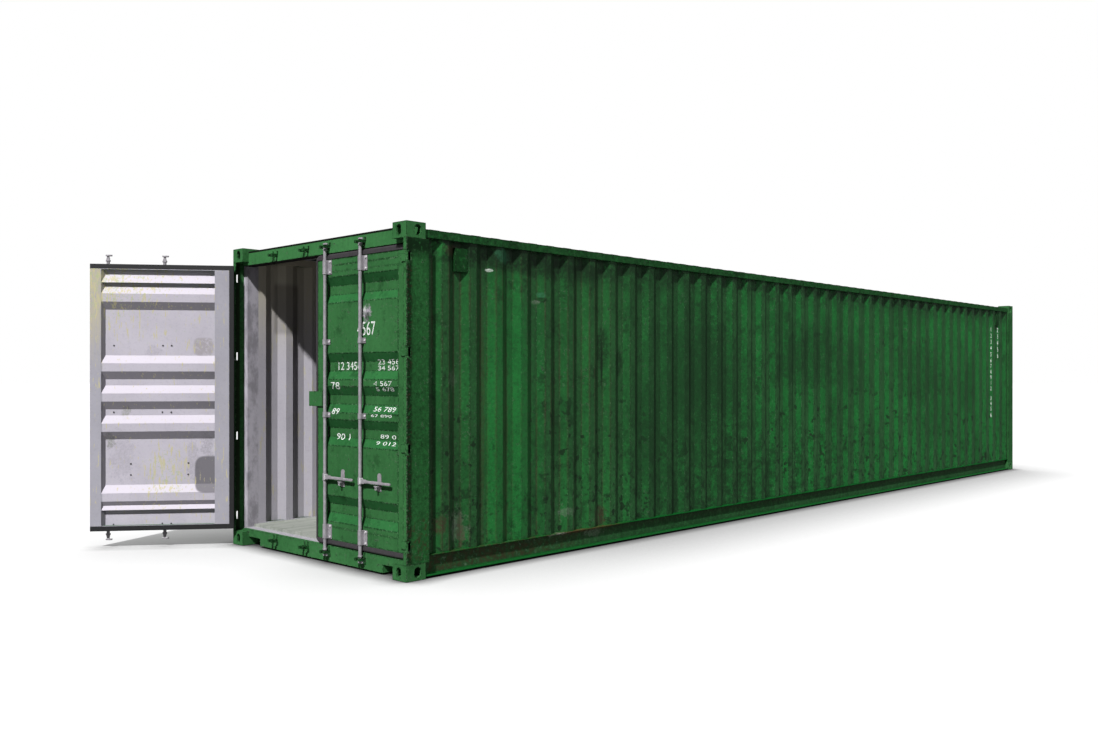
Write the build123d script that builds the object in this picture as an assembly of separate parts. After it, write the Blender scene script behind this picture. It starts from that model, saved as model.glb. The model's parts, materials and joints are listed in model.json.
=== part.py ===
from build123d import *
import os
from math import ceil

# A forty foot steel shipping container, standing on its four bottom corner castings.
# Millimetres. X runs along the container, with the double doors at the low end.
# Y runs across it, Z is up, and Z = 0 is the plane of the bottom castings.
# Positions at the door end are worked out as a depth behind the end plane and as a
# distance out from the middle plane, so that the two leaves share their functions.

# Overall size
LENGTH = 12192.0
WIDTH = 2438.0
HEIGHT = 2591.0
DOOR_END = -LENGTH / 2
FRONT_END = LENGTH / 2
SIDE = WIDTH / 2

# Corner castings
CASTING_LENGTH = 178.0
CASTING_WIDTH = 162.0
CASTING_HEIGHT = 118.0
CASTING_WALL = 16.0
CASTING_FACE = 28.0
CASTING_BACK = 10.0
APERTURE_END = 103.5
APERTURE_SIDE = 89.5
APERTURE_SPACING_X = LENGTH - 2 * APERTURE_END
APERTURE_SPACING_Y = WIDTH - 2 * APERTURE_SIDE
APERTURE_LENGTH = 124.0
APERTURE_WIDTH = 63.5
POCKET_HEIGHT = 79.0
SIDE_POCKET_WIDTH = 63.5
END_POCKET_WIDTH = 51.0
POCKET_LEVEL = 57.0

# Levels of the frame
BASE_GAP = 12.5
SILL_TOP = 136.0
HEADER_DROP = 26.0
HEADER_HEIGHT = 120.0
HEADER_TOP = HEIGHT - HEADER_DROP
HEADER_LOW = HEADER_TOP - HEADER_HEIGHT
TOP_RAIL_DROP = 43.0
TOP_RAIL_SIZE = 60.0
TOP_RAIL_LOW = HEIGHT - TOP_RAIL_DROP - TOP_RAIL_SIZE
FLOOR_THICK = 28.0

# Plates of the frame
PLATE = 6.0
TUBE_WALL = 4.0
SHEET = 3.0

# Door end
RECESS = 57.0
POST_FLANGE = 38.0
POST_LEG = 210.0
POST_GAP = 5.0
HEADER_DEPTH = 110.0
SILL_DEPTH = 108.0
SILL_NOTCH_SIDE = 359.0
SILL_NOTCH_IN = SIDE - SILL_NOTCH_SIDE
SILL_NOTCH_TOP = 75.0
THRESHOLD_THICK = 4.0
THRESHOLD_FRONT = 92.0

# Side rails and walls
RAIL_INSET = 15.0
WALL_INSET = 25.0
BOTTOM_RAIL_TOP = 168.0
BOTTOM_RAIL_WEB = 49.0
BOTTOM_RAIL_LEDGE = 6.0
BOTTOM_RAIL_LIP = 6.0
LIP_HEIGHT = 16.0
WALL_PITCH = 276.5
WALL_DEPTH = 36.0
WALL_SLOPE = 68.0
WALL_INNER_FLAT = 70.0
WALL_LEAD = 75.0
FRONT_LEG = 178.0
FRONT_FACE = 100.0
FRONT_RETURN = 64.0

# Blank end
FRONT_WALL_INSET = 20.0
FRONT_WALL_PITCH = 250.0
FRONT_WALL_DEPTH = 45.0
FRONT_WALL_SLOPE = 18.0
FRONT_WALL_FLAT = 104.0
FRONT_RAIL_DEPTH = 75.0
FRONT_RAIL_TOP = 168.0
FRONT_RAIL_HEIGHT = 119.0
FRONT_RAIL_LOW = HEADER_TOP - FRONT_RAIL_HEIGHT

# Roof
ROOF_PITCH = 209.0
ROOF_DEPTH = 16.0
ROOF_SLOPE = 18.0
ROOF_FLAT = 78.0
ROOF_EDGE = 18.0
ROOF_STRIP = 72.0

# Base
MEMBER_HEIGHT = 122.0
MEMBER_FLANGE = 45.0
MEMBER_WALL = 4.0
MEMBER_PITCH = 305.0
TUNNEL_WIDTH = 1029.0
TUNNEL_HEIGHT = 120.0
TUNNEL_LENGTH = 3315.0

# Hinges
PIN_BACK = 12.0
PIN_IN = 12.0
PIN_RADIUS = 6.0
PIN_CLEARANCE = 0.08
KNUCKLE_RADIUS = 10.5
BLADE_HEIGHT = 60.0
BLADE_THICK = 8.0
BLADE_REACH = 115.0
BLADE_TURN = 36.0
LUG_HEIGHT = 13.0
LUG_GAP = 1.0
SLOT_BACK = 42.0
SLOT_HEIGHT = 70.0
HINGE_END_LOW = 63.0
HINGE_END_TOP = 61.0
HINGE_UNDER_MIDDLE = 342.0
HINGE_OVER_MIDDLE = 359.0

# Door leaves
LEAF_GAP_LOW = 51.0
LEAF_GAP_TOP = 46.0
LEAF_GAP_SIDE = 49.0
LEAF_LOW = SILL_TOP + LEAF_GAP_LOW
LEAF_TOP = HEADER_LOW - LEAF_GAP_TOP
LEAF_MIDDLE = (LEAF_LOW + LEAF_TOP) / 2
LEAF_HINGE_EDGE = SIDE - LEAF_GAP_SIDE
LEAF_DEPTH = 40.0
RIGHT_FREE_EDGE = 15.0
LEFT_FREE_EDGE = 18.0
HINGE_STILE = 122.0
FREE_STILE = 100.0
STILE_BACK = 91.0
STILE_FOOT = 118.0
RAIL_BAND = 103.0
GASKET_BAND = 42.0
GASKET_SIDE = 38.0
GASKET_PROUD = 5.0
GASKET_SETBACK = 3.0
GASKET_LAP = 27.0
GASKET_CORNER = 48.0
GASKET_ROUND = 16.0
RIB_DEPTH = 36.0
RIB_SLOPE = 68.0
RIB_CREST = 70.0
TOP_LEDGE_LIP = 118.0
TOP_LEDGE_ROOT = 49.0
LOW_LEDGE_LIP = 136.0
LOW_LEDGE_ROOT = 174.0
LEDGE_TOP_LOW = LEAF_TOP - TOP_LEDGE_LIP
LEDGE_TOP_HIGH = LEAF_TOP - TOP_LEDGE_ROOT
LEDGE_LOW_LOW = LEAF_LOW + LOW_LEDGE_LIP
LEDGE_LOW_HIGH = LEAF_LOW + LOW_LEDGE_ROOT
RIB_SPACING = 259.0
RIB_END = 247.0
END_RIB = (LEAF_TOP - LEAF_LOW) / 2 - RIB_END
RIB_OFFSETS = (-END_RIB, -RIB_SPACING, 0.0, RIB_SPACING, END_RIB)
HINGE_LEVELS = (LEAF_LOW + HINGE_END_LOW, LEAF_MIDDLE - HINGE_UNDER_MIDDLE,
                LEAF_MIDDLE + HINGE_OVER_MIDDLE, LEAF_TOP - HINGE_END_TOP)
LEFT_OPEN = 128.0

# Lock bars
BAR_RADIUS = 13.5
BAR_STAND = 25.0
BAR_LOW = 60.0
BAR_DROP = 40.0
BAR_TOP = HEADER_TOP - BAR_DROP
BAR_PLACES = (150.0, 618.0)
BAR_CLEARANCE = 0.5
BRACKET_SHELL = 4.0
BRACKET_PLATE = 5.0
BRACKET_HEIGHT = 113.0
BRACKET_END = 64.0
BRACKET_LEVELS = (LEAF_LOW + BRACKET_END, LEAF_TOP - BRACKET_END)
BRACKET_BACK = 26.0
BRACKET_REACH = 60.0
GUIDE_HEIGHT = 42.0
GUIDE_REACH = 40.0
GUIDE_UNDER_MIDDLE = 121.0
GUIDE_OVER_MIDDLE = 453.0
GUIDE_LEVELS = (LEAF_MIDDLE - GUIDE_UNDER_MIDDLE, LEAF_MIDDLE + GUIDE_OVER_MIDDLE)
CAM_HEIGHT = 58.0
CAM_CAP = 12.0
CAM_CAP_DEEP = 15.0
CAM_CAP_BACK = 21.0
CAM_CAP_NOSE = 34.0
CAM_COLLAR = 13.0
CAM_COLLAR_WIDE = 20.0
CAM_COLLAR_DEEP = 16.0
CAM_BLADE_WIDE = 16.0
CAM_BLADE_TIP = 8.0
CAM_BLADE_THICK = 12.0
KEEPER_GAP = 5.5
KEEPER_PLATE = 4.0
KEEPER_HOLE = 9.0
KEEPER_EAR_IN = 25.0
KEEPER_EAR = 10.0
KEEPER_PROUD = 55.0
KEEPER_HOOK = 6.0
KEEPER_HOOK_IN = 12.0
KEEPER_LEG_IN = 17.0
KEEPER_LEG = 11.0
KEEPER_PRONG_IN = 29.0
KEEPER_PRONG = 12.0
KEEPER_PRONG_RISE = 24.0

# Handles and catches
HANDLE_LEVEL = 680.0
HUB_RADIUS = 18.0
HUB_HEIGHT = 56.0
HANDLE_PIVOT = 44.0
HANDLE_PIN = 5.0
HANDLE_THICK = 12.0
HANDLE_HEIGHT = 32.0
HANDLE_REACH = 385.0
HANDLE_EYE = 15.0
HANDLE_NECK = 60.0
HANDLE_TAPER = 6.0
EAR_GAP = 0.5
EAR_THICK = 5.0
CATCH_PLACE = 210.0
CATCH_LOW = 616.0
CATCH_TOP = 751.0
CATCH_WIDTH = 46.0
CATCH_PLATE = 4.0
CATCH_LIP = 5.0
CATCH_GAP = 6.0
CATCH_PROUD = 38.0
CATCH_EYE = 6.0

# Lock plate over the joint between the leaves
LOCK_PLATE_HALF = 93.5
LOCK_PLATE_DOWN = 57.0
LOCK_PLATE_UP = 62.0
LOCK_PLATE_LOW = LEAF_MIDDLE - LOCK_PLATE_DOWN
LOCK_PLATE_TOP = LEAF_MIDDLE + LOCK_PLATE_UP
LOCK_PLATE_THICK = 6.0
LOCK_PLATE_GAP = 6.0

# Vents
VENT_HEIGHT = 180.0
VENT_DROP = 46.0
VENT_TOP = TOP_RAIL_LOW - VENT_DROP
VENT_TROUGH = 1
VENT_TROUGH_FROM_LAST = 1
VENT_PROUD = 30.0
VENT_SLOT = 12.0


def block(x0, x1, y0, y1, z0, z1):
    middle = ((x0 + x1) / 2, (y0 + y1) / 2, (z0 + z1) / 2)
    return Pos(*middle) * Box(abs(x1 - x0), abs(y1 - y0), abs(z1 - z0))


def end_block(side, depth0, depth1, out0, out1, z0, z1):
    """A block at the door end, from depths behind the end plane and places out from the middle."""
    return block(DOOR_END + depth0, DOOR_END + depth1, side * out0, side * out1, z0, z1)


def along_x(outline, x0, x1):
    """A bar along X from an outline in Y and Z."""
    return extrude(Plane.YZ.offset(x0) * Polygon(*outline, align=None), x1 - x0, dir=(1, 0, 0))


def along_y(outline, y0, y1):
    """A bar along Y from an outline in X and Z."""
    return extrude(Plane.XZ.offset(-y0) * Polygon(*outline, align=None), y1 - y0, dir=(0, 1, 0))


def along_z(outline, z0, z1):
    """A bar along Z from an outline in X and Y."""
    return extrude(Plane.XY.offset(z0) * Polygon(*outline, align=None), z1 - z0, dir=(0, 0, 1))


def upright(x, y, radius, z0, z1):
    return Pos(x, y, (z0 + z1) / 2) * Cylinder(radius, z1 - z0)


def fused(pieces):
    whole = pieces[0]
    for piece in pieces[1:]:
        whole += piece
    return whole


def write(name, shapes):
    solids = []
    for shape in shapes:
        solids.extend(shape.solids())
    export_step(Compound(label=name, children=solids), f"parts/{name}.step")


def fold_line(start, end, pitch, flat_low, slope, depth, level, lead, folds):
    """Points of a folded sheet's face: low flats at level, high flats at level + depth.

    The first low flat ends at start + lead, and a fold that passes the end is cut there.
    """
    high_flat = pitch - flat_low - 2 * slope
    steps = ((slope, depth), (high_flat, depth), (slope, 0.0), (flat_low, 0.0))
    points = [(start, level), (start + lead, level)]
    place = start + lead
    height = 0.0
    for run, target in steps * folds:
        reach = min(run, end - place)
        if reach <= 0:
            break
        height += (target - height) * reach / run
        place += reach
        points.append((place, level + height))
    if place < end:
        points[-1] = (end, level)
    return points


def even_folds(total, pitch, flat_low):
    """How many whole folds fit, and the first low flat that leaves an equal one at the end."""
    folds = int((total - flat_low) // pitch)
    return (total - folds * pitch + flat_low) / 2, folds


def sheet_outline(points, thick):
    """The closed outline of a folded sheet: its face, and the same line moved back by thick."""
    back = [(a, b - thick) for a, b in reversed(points)]
    return points + back


# Corner castings


def obround(length, width, plane, depth):
    return extrude(plane * SlotOverall(length, width), depth / 2, both=True)


def casting(end, side, top):
    """One hollow corner casting; end, side are -1 or 1, top says which face is the outer one."""
    low = HEIGHT - CASTING_HEIGHT if top else 0.0
    x_out = end * LENGTH / 2
    y_out = side * SIDE
    body = block(x_out, x_out - end * CASTING_LENGTH, y_out, y_out - side * CASTING_WIDTH,
                 low, low + CASTING_HEIGHT)
    under = CASTING_BACK if top else CASTING_FACE
    over = CASTING_FACE if top else CASTING_BACK
    body -= block(x_out - end * CASTING_WALL, x_out - end * (CASTING_LENGTH - CASTING_WALL),
                  y_out - side * CASTING_WALL, y_out - side * (CASTING_WIDTH - CASTING_WALL),
                  low + under, low + CASTING_HEIGHT - over)
    x_hole = end * APERTURE_SPACING_X / 2
    y_hole = side * APERTURE_SPACING_Y / 2
    z_face = HEIGHT if top else 0.0
    z_pocket = HEIGHT - POCKET_LEVEL if top else POCKET_LEVEL
    body -= obround(APERTURE_LENGTH, APERTURE_WIDTH,
                    Plane((x_hole, y_hole, z_face), x_dir=(1, 0, 0), z_dir=(0, 0, 1)),
                    2 * (CASTING_FACE + 1))
    body -= obround(POCKET_HEIGHT, SIDE_POCKET_WIDTH,
                    Plane((x_hole, y_out, z_pocket), x_dir=(0, 0, 1), z_dir=(0, 1, 0)),
                    2 * (CASTING_WALL + 1))
    body -= obround(POCKET_HEIGHT, END_POCKET_WIDTH,
                    Plane((x_out, y_hole, z_pocket), x_dir=(0, 0, 1), z_dir=(1, 0, 0)),
                    2 * (CASTING_WALL + 1))
    return body


def castings(top):
    return [casting(end, side, top) for end in (-1, 1) for side in (-1, 1)]


# Posts

WALL_OUT = SIDE - WALL_INSET
WALL_IN = WALL_OUT - WALL_DEPTH - SHEET
POST_DOORWAY = WALL_IN
POST_LOW = CASTING_HEIGHT
POST_TOP = HEIGHT - CASTING_HEIGHT
LEAF_BACK = RECESS + LEAF_DEPTH
POST_FACE = LEAF_BACK + POST_GAP
PIN_OUT = SIDE - PIN_IN
HINGE_HEIGHT = BLADE_HEIGHT + 2 * (LUG_GAP + LUG_HEIGHT)


def door_post(side):
    plates = [
        (0.0, PLATE, SIDE - POST_FLANGE, SIDE),
        (0.0, POST_LEG, SIDE - PLATE, SIDE),
        (POST_LEG - PLATE, POST_LEG, POST_DOORWAY, SIDE),
        (POST_FACE, POST_FACE + PLATE, POST_DOORWAY, SIDE),
        (POST_FACE, POST_LEG, POST_DOORWAY, POST_DOORWAY + PLATE),
    ]
    post = fused([end_block(side, d0, d1, w0, w1, POST_LOW, POST_TOP) for d0, d1, w0, w1 in plates])
    for level in HINGE_LEVELS:
        post -= end_block(side, -1, 2 * PIN_BACK, SIDE - POST_FLANGE - 1, SIDE + 1,
                          level - HINGE_HEIGHT / 2, level + HINGE_HEIGHT / 2)
        post -= end_block(side, PIN_BACK, SLOT_BACK, SIDE - PLATE - 1, SIDE + 1,
                          level - SLOT_HEIGHT / 2, level + SLOT_HEIGHT / 2)
    return post


def front_post(side):
    plates = [
        (0.0, FRONT_LEG, SIDE - PLATE, SIDE),
        (0.0, PLATE, SIDE - FRONT_FACE, SIDE),
        (0.0, FRONT_WALL_INSET + FRONT_WALL_DEPTH, SIDE - FRONT_FACE, SIDE - FRONT_FACE + PLATE),
        (FRONT_LEG - PLATE, FRONT_LEG, SIDE - FRONT_RETURN, SIDE),
    ]
    return fused([block(FRONT_END - d0, FRONT_END - d1, side * w0, side * w1, POST_LOW, POST_TOP)
                  for d0, d1, w0, w1 in plates])


# Cross pieces at the door end


def door_header():
    casting_in = SIDE - CASTING_WIDTH
    back = RECESS + HEADER_DEPTH
    beam = end_block(1, RECESS, back, -casting_in, casting_in, HEADER_LOW, HEADER_TOP)
    beam += end_block(1, RECESS, back, -POST_DOORWAY, POST_DOORWAY, HEADER_LOW, POST_TOP)
    beam -= end_block(1, RECESS + TUBE_WALL, back - TUBE_WALL, -casting_in, casting_in,
                      HEADER_LOW + TUBE_WALL, HEADER_TOP - TUBE_WALL)
    return beam


def door_sill():
    casting_in = SIDE - CASTING_WIDTH
    back = RECESS + SILL_DEPTH
    beam = end_block(1, RECESS, back, -casting_in, casting_in, BASE_GAP, SILL_TOP)
    beam += end_block(1, RECESS, back, -POST_DOORWAY, POST_DOORWAY, POST_LOW, SILL_TOP)
    beam -= end_block(1, RECESS + PLATE, back + 1, -SILL_NOTCH_IN, SILL_NOTCH_IN,
                      BASE_GAP + PLATE, SILL_TOP - PLATE)
    for side in (-1, 1):
        beam -= end_block(side, RECESS - 1, back + 1, SILL_NOTCH_IN + PLATE, casting_in + 1,
                          BASE_GAP - 1, SILL_NOTCH_TOP)
        beam -= end_block(side, RECESS + PLATE, back + 1, SILL_NOTCH_IN + PLATE, casting_in + 1,
                          SILL_NOTCH_TOP + PLATE, SILL_TOP - PLATE)
    return beam


def threshold_plate():
    back = RECESS + SILL_DEPTH
    return end_block(1, THRESHOLD_FRONT, back, -POST_DOORWAY, POST_DOORWAY,
                     SILL_TOP, SILL_TOP + THRESHOLD_THICK)


# Blank end


def front_top_rail():
    outer = SIDE - FRONT_FACE
    casting_in = SIDE - CASTING_WIDTH
    front = FRONT_END - PLATE
    back = FRONT_END - FRONT_RAIL_DEPTH
    rail = block(front, back, -casting_in, casting_in, FRONT_RAIL_LOW, HEADER_TOP)
    rail += block(front, back, -outer, outer, FRONT_RAIL_LOW, POST_TOP)
    return rail


def front_bottom_rail():
    casting_in = SIDE - CASTING_WIDTH
    outer = SIDE - FRONT_FACE
    half = TUNNEL_WIDTH / 2
    front = FRONT_END - PLATE
    back = FRONT_END - FRONT_RAIL_DEPTH
    rail = block(front, back, -casting_in, casting_in, BASE_GAP, FRONT_RAIL_TOP)
    rail += block(front, back, -outer, outer, POST_LOW, FRONT_RAIL_TOP)
    rail -= block(front + 1, back - 1, -half, half, BASE_GAP - 1, BASE_GAP + TUNNEL_HEIGHT)
    return rail


def front_wall():
    """Upright flutes across the blank end, its outer crests just inside the end plane."""
    half = SIDE - FRONT_FACE + PLATE
    crest = FRONT_END - FRONT_WALL_INSET
    lead, folds = even_folds(2 * half, FRONT_WALL_PITCH, FRONT_WALL_FLAT)
    points = fold_line(-half, half, FRONT_WALL_PITCH, FRONT_WALL_FLAT, FRONT_WALL_SLOPE,
                       FRONT_WALL_DEPTH, crest - FRONT_WALL_DEPTH, lead, folds)
    outline = [(x, y) for y, x in sheet_outline(points, SHEET)]
    return along_z(outline, FRONT_RAIL_TOP, FRONT_RAIL_LOW)


# Sides


def top_side_rail(side):
    outer = SIDE - RAIL_INSET
    inner = outer - TOP_RAIL_SIZE
    top = TOP_RAIL_LOW + TOP_RAIL_SIZE
    x0 = DOOR_END + CASTING_LENGTH
    x1 = FRONT_END - CASTING_LENGTH
    rail = block(x0, x1, side * inner, side * outer, TOP_RAIL_LOW, top)
    rail -= block(x0 - 1, x1 + 1, side * (inner + TUBE_WALL), side * (outer - TUBE_WALL),
                  TOP_RAIL_LOW + TUBE_WALL, top - TUBE_WALL)
    return rail


def bottom_side_rail(side):
    web = SIDE - BOTTOM_RAIL_WEB
    lip = SIDE - BOTTOM_RAIL_LIP
    ledge = SIDE - RAIL_INSET
    outline = [
        (web - PLATE, BASE_GAP), (lip, BASE_GAP), (lip, BASE_GAP + LIP_HEIGHT),
        (lip - PLATE, BASE_GAP + LIP_HEIGHT), (lip - PLATE, BASE_GAP + PLATE),
        (web, BASE_GAP + PLATE), (web, BOTTOM_RAIL_TOP - PLATE),
        (ledge, BOTTOM_RAIL_TOP - PLATE), (ledge, BOTTOM_RAIL_TOP),
        (LEDGE_IN, BOTTOM_RAIL_TOP), (LEDGE_IN, BOTTOM_RAIL_TOP - PLATE),
        (web - PLATE, BOTTOM_RAIL_TOP - PLATE),
    ]
    outline = [(side * y, z) for y, z in outline]
    rail = along_x(outline, DOOR_END + CASTING_LENGTH, FRONT_END - CASTING_LENGTH)
    return rail - end_block(side, 0, POST_LEG, 0, SIDE, POST_LOW, HEIGHT)


def side_wall(side):
    """One long wall: upright flutes, with the outer crests just inside the rails' faces."""
    start = DOOR_END + POST_LEG
    end = FRONT_END - FRONT_LEG
    folds = ceil((end - start) / WALL_PITCH)
    points = fold_line(start, end, WALL_PITCH, WALL_INNER_FLAT, WALL_SLOPE, WALL_DEPTH,
                       WALL_OUT - WALL_DEPTH, WALL_LEAD, folds)
    outline = [(x, side * y) for x, y in sheet_outline(points, SHEET)]
    return along_z(outline, BOTTOM_RAIL_TOP, TOP_RAIL_LOW)


def side_vents():
    """Small hooded vents in the troughs under the top rail, open at the foot."""
    vents = []
    trough = WALL_OUT - WALL_DEPTH
    face = trough + VENT_PROUD
    run = LENGTH - POST_LEG - FRONT_LEG - WALL_LEAD
    last = int(run // WALL_PITCH)
    for side in (-1, 1):
        for count in (VENT_TROUGH, last - VENT_TROUGH_FROM_LAST):
            x1 = DOOR_END + POST_LEG + WALL_LEAD + count * WALL_PITCH
            x0 = x1 - WALL_INNER_FLAT
            reach = x1 + WALL_SLOPE * VENT_PROUD / WALL_DEPTH
            outline = [(x0, trough), (x1, trough), (reach, face), (x0, face)]
            low = VENT_TOP - VENT_HEIGHT
            hood = along_z([(x, side * y) for x, y in outline], low, VENT_TOP)
            hood -= block(x0 + VENT_SLOT, x1, side * (trough + VENT_SLOT / 2), side * (face - VENT_SLOT / 2),
                          low - 1, VENT_TOP - VENT_SLOT)
            vents.append(hood)
    return vents


# Roof


def roof_panel():
    """Flutes across the roof, closed at their ends, with a flat strip along each top rail."""
    low = TOP_RAIL_LOW + TOP_RAIL_SIZE + SHEET
    half = SIDE - RAIL_INSET - ROOF_EDGE
    flute = half - ROOF_STRIP
    x0 = DOOR_END + CASTING_LENGTH
    x1 = FRONT_END - CASTING_LENGTH
    lead, folds = even_folds(x1 - x0, ROOF_PITCH, ROOF_FLAT)
    points = fold_line(x0, x1, ROOF_PITCH, ROOF_FLAT, ROOF_SLOPE, ROOF_DEPTH, low, lead, folds)
    panel = along_y(sheet_outline(points, SHEET), -flute, flute)
    filled = points + [(x1, low - SHEET), (x0, low - SHEET)]
    for side in (-1, 1):
        panel += along_y(filled, *sorted((side * (flute - SHEET), side * flute)))
        panel += block(x0, x1, side * flute, side * half, low - SHEET, low)
    casting_in = SIDE - CASTING_WIDTH
    for end, reach in ((-1, CASTING_LENGTH - RECESS - HEADER_DEPTH),
                       (1, CASTING_LENGTH - FRONT_RAIL_DEPTH)):
        edge = end * (LENGTH / 2 - CASTING_LENGTH)
        panel += block(edge, edge + end * reach, -casting_in, casting_in, low - SHEET, low)
    return panel


# Base


def channel(x, y0, y1):
    """A cross member: an open channel, its web at x and its flanges towards the blank end."""
    top = SILL_TOP
    low = top - MEMBER_HEIGHT
    outline = [
        (x, low), (x + MEMBER_FLANGE, low), (x + MEMBER_FLANGE, low + MEMBER_WALL),
        (x + MEMBER_WALL, low + MEMBER_WALL), (x + MEMBER_WALL, top - MEMBER_WALL),
        (x + MEMBER_FLANGE, top - MEMBER_WALL), (x + MEMBER_FLANGE, top), (x, top),
    ]
    return along_y(outline, y0, y1)


TUNNEL_START = FRONT_END - TUNNEL_LENGTH
RAIL_IN = SIDE - BOTTOM_RAIL_WEB - PLATE
LEDGE_IN = WALL_IN - BOTTOM_RAIL_LEDGE


def cross_members():
    members = []
    x = DOOR_END + RECESS + SILL_DEPTH + MEMBER_PITCH / 2
    while x + MEMBER_FLANGE < TUNNEL_START:
        members.append(channel(x, -RAIL_IN, RAIL_IN))
        x += MEMBER_PITCH
    half = TUNNEL_WIDTH / 2 + PLATE
    while x + MEMBER_FLANGE < FRONT_END - CASTING_LENGTH:
        members.append(channel(x, -RAIL_IN, -half))
        members.append(channel(x, half, RAIL_IN))
        x += MEMBER_PITCH
    return members


def gooseneck_tunnel():
    half = TUNNEL_WIDTH / 2
    roof = BASE_GAP + TUNNEL_HEIGHT
    end = FRONT_END - FRONT_RAIL_DEPTH
    tunnel = block(TUNNEL_START, end, -half - PLATE, half + PLATE, BASE_GAP, SILL_TOP)
    tunnel -= block(TUNNEL_START + PLATE, end + 1, -half, half, BASE_GAP - 1, roof)
    return tunnel


def floor_boards():
    start = DOOR_END + RECESS + SILL_DEPTH
    end = FRONT_END - FRONT_LEG
    top = SILL_TOP + FLOOR_THICK
    floor = block(start, end, -LEDGE_IN, LEDGE_IN, SILL_TOP, top)
    inner = SIDE - FRONT_FACE
    floor += block(end, FRONT_END - FRONT_RAIL_DEPTH, -inner, inner, SILL_TOP, top)
    return floor


# Hinges


def hinge_lug(side, level):
    """Two lugs on the corner of the post with the pin fixed in them."""
    x = DOOR_END + PIN_BACK
    y = side * PIN_OUT
    inner = BLADE_HEIGHT / 2 + LUG_GAP
    outer = inner + LUG_HEIGHT
    pieces = [upright(x, y, PIN_RADIUS, level - outer, level + outer)]
    for z0, z1 in ((level - outer, level - inner), (level + inner, level + outer)):
        pieces.append(upright(x, y, PIN_IN - 1.0, z0, z1))
        pieces.append(end_block(side, PIN_BACK, 2 * PIN_BACK, PIN_OUT - PIN_RADIUS, SIDE - 1.0, z0, z1))
    return fused(pieces)


def hinge_blade(side, level):
    """A forged blade: knuckle on the pin, a shank round the leaf's edge, a flat on its face."""
    z0 = level - BLADE_HEIGHT / 2
    z1 = level + BLADE_HEIGHT / 2
    x = DOOR_END + PIN_BACK
    face = DOOR_END + RECESS
    half = BLADE_THICK / 2
    mid = face - half
    run = mid - x
    tall = (run ** 2 + BLADE_TURN ** 2) ** 0.5
    across = (-BLADE_TURN / tall * half, run / tall * half)
    corners = [
        (x + across[0], PIN_OUT - across[1]), (mid + across[0], PIN_OUT - BLADE_TURN - across[1]),
        (mid - across[0], PIN_OUT - BLADE_TURN + across[1]), (x - across[0], PIN_OUT + across[1]),
    ]
    blade = along_z([(a, side * b) for a, b in corners], z0, z1)
    blade += block(face - BLADE_THICK, face, side * (PIN_OUT - BLADE_TURN),
                   side * (PIN_OUT - BLADE_REACH), z0, z1)
    blade += upright(x, side * PIN_OUT, KNUCKLE_RADIUS, z0, z1)
    blade -= upright(x, side * PIN_OUT, PIN_RADIUS + PIN_CLEARANCE, z0 - 1, z1 + 1)
    return blade


# Door leaves, modelled closed


def panel_line():
    """The outer face of a leaf's sheet from below: depths and heights."""
    points = [(RECESS, LEAF_LOW + RAIL_BAND)]
    outer = RIB_CREST / 2 + RIB_SLOPE
    inner = RIB_CREST / 2
    for offset in RIB_OFFSETS:
        centre = LEAF_MIDDLE + offset
        points += [(RECESS, centre - outer), (RECESS + RIB_DEPTH, centre - inner),
                   (RECESS + RIB_DEPTH, centre + inner), (RECESS, centre + outer)]
    points.append((RECESS, LEAF_TOP - RAIL_BAND))
    return points


def across_leaf(side, outline, near, far):
    """A bar across a leaf from an outline in depths and heights."""
    low_y, high_y = sorted((side * near, side * far))
    return along_y([(DOOR_END + d, z) for d, z in outline], low_y, high_y)


def free_stile(side, free):
    """The box along the free edge, with an inner side that slopes out to the sheet's back."""
    foot = RECESS + SHEET
    outline = [(RECESS, 0.0), (RECESS, FREE_STILE), (foot, FREE_STILE), (foot, STILE_FOOT),
               (LEAF_BACK, STILE_BACK), (LEAF_BACK, 0.0)]
    stile = along_z([(DOOR_END + d, side * (free + w)) for d, w in outline], LEAF_LOW, LEAF_TOP)
    line = panel_line()
    before = [(d + SHEET, z) for d, z in line]
    before += [(RECESS - 1, line[-1][1]), (RECESS - 1, line[0][1])]
    return stile - across_leaf(side, before, free + FREE_STILE, free + STILE_FOOT + 1)


def leaf_frame(side, free):
    """Stiles, the webs and flanges of the end rails, and the sloped ledges inside them."""
    plate = TUBE_WALL
    web = RECESS + plate
    sheet = RECESS + SHEET
    proud = LEAF_BACK - 1.0
    hinge_in = LEAF_HINGE_EDGE - HINGE_STILE
    free_in = free + STILE_BACK
    frame = free_stile(side, free)
    frame += end_block(side, RECESS, LEAF_BACK, hinge_in, LEAF_HINGE_EDGE, LEAF_LOW, LEAF_TOP)
    rail_low = LEAF_TOP - RAIL_BAND
    frame += end_block(side, RECESS, web, free_in, hinge_in, LEAF_LOW, LEAF_LOW + RAIL_BAND)
    frame += end_block(side, RECESS, web, free_in, hinge_in, rail_low, LEAF_TOP)
    frame += end_block(side, RECESS, LEAF_BACK, free_in, hinge_in, LEAF_LOW, LEAF_LOW + plate)
    frame += end_block(side, RECESS, LEAF_BACK, free_in, hinge_in, LEAF_TOP - plate, LEAF_TOP)
    rib_start = LEAF_MIDDLE + RIB_OFFSETS[0] - RIB_CREST / 2 - RIB_SLOPE
    on_rib = sheet + RIB_DEPTH * (LEDGE_LOW_HIGH - rib_start) / RIB_SLOPE
    ledges = [
        [(web, LEDGE_TOP_HIGH), (proud, LEDGE_TOP_LOW), (sheet, LEDGE_TOP_LOW), (sheet, rail_low),
         (web, rail_low)],
        [(sheet, LEDGE_LOW_LOW), (sheet, rib_start), (on_rib, LEDGE_LOW_HIGH), (proud, LEDGE_LOW_LOW)],
    ]
    for ledge in ledges:
        frame += across_leaf(side, ledge, free_in, hinge_in)
    return frame


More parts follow.
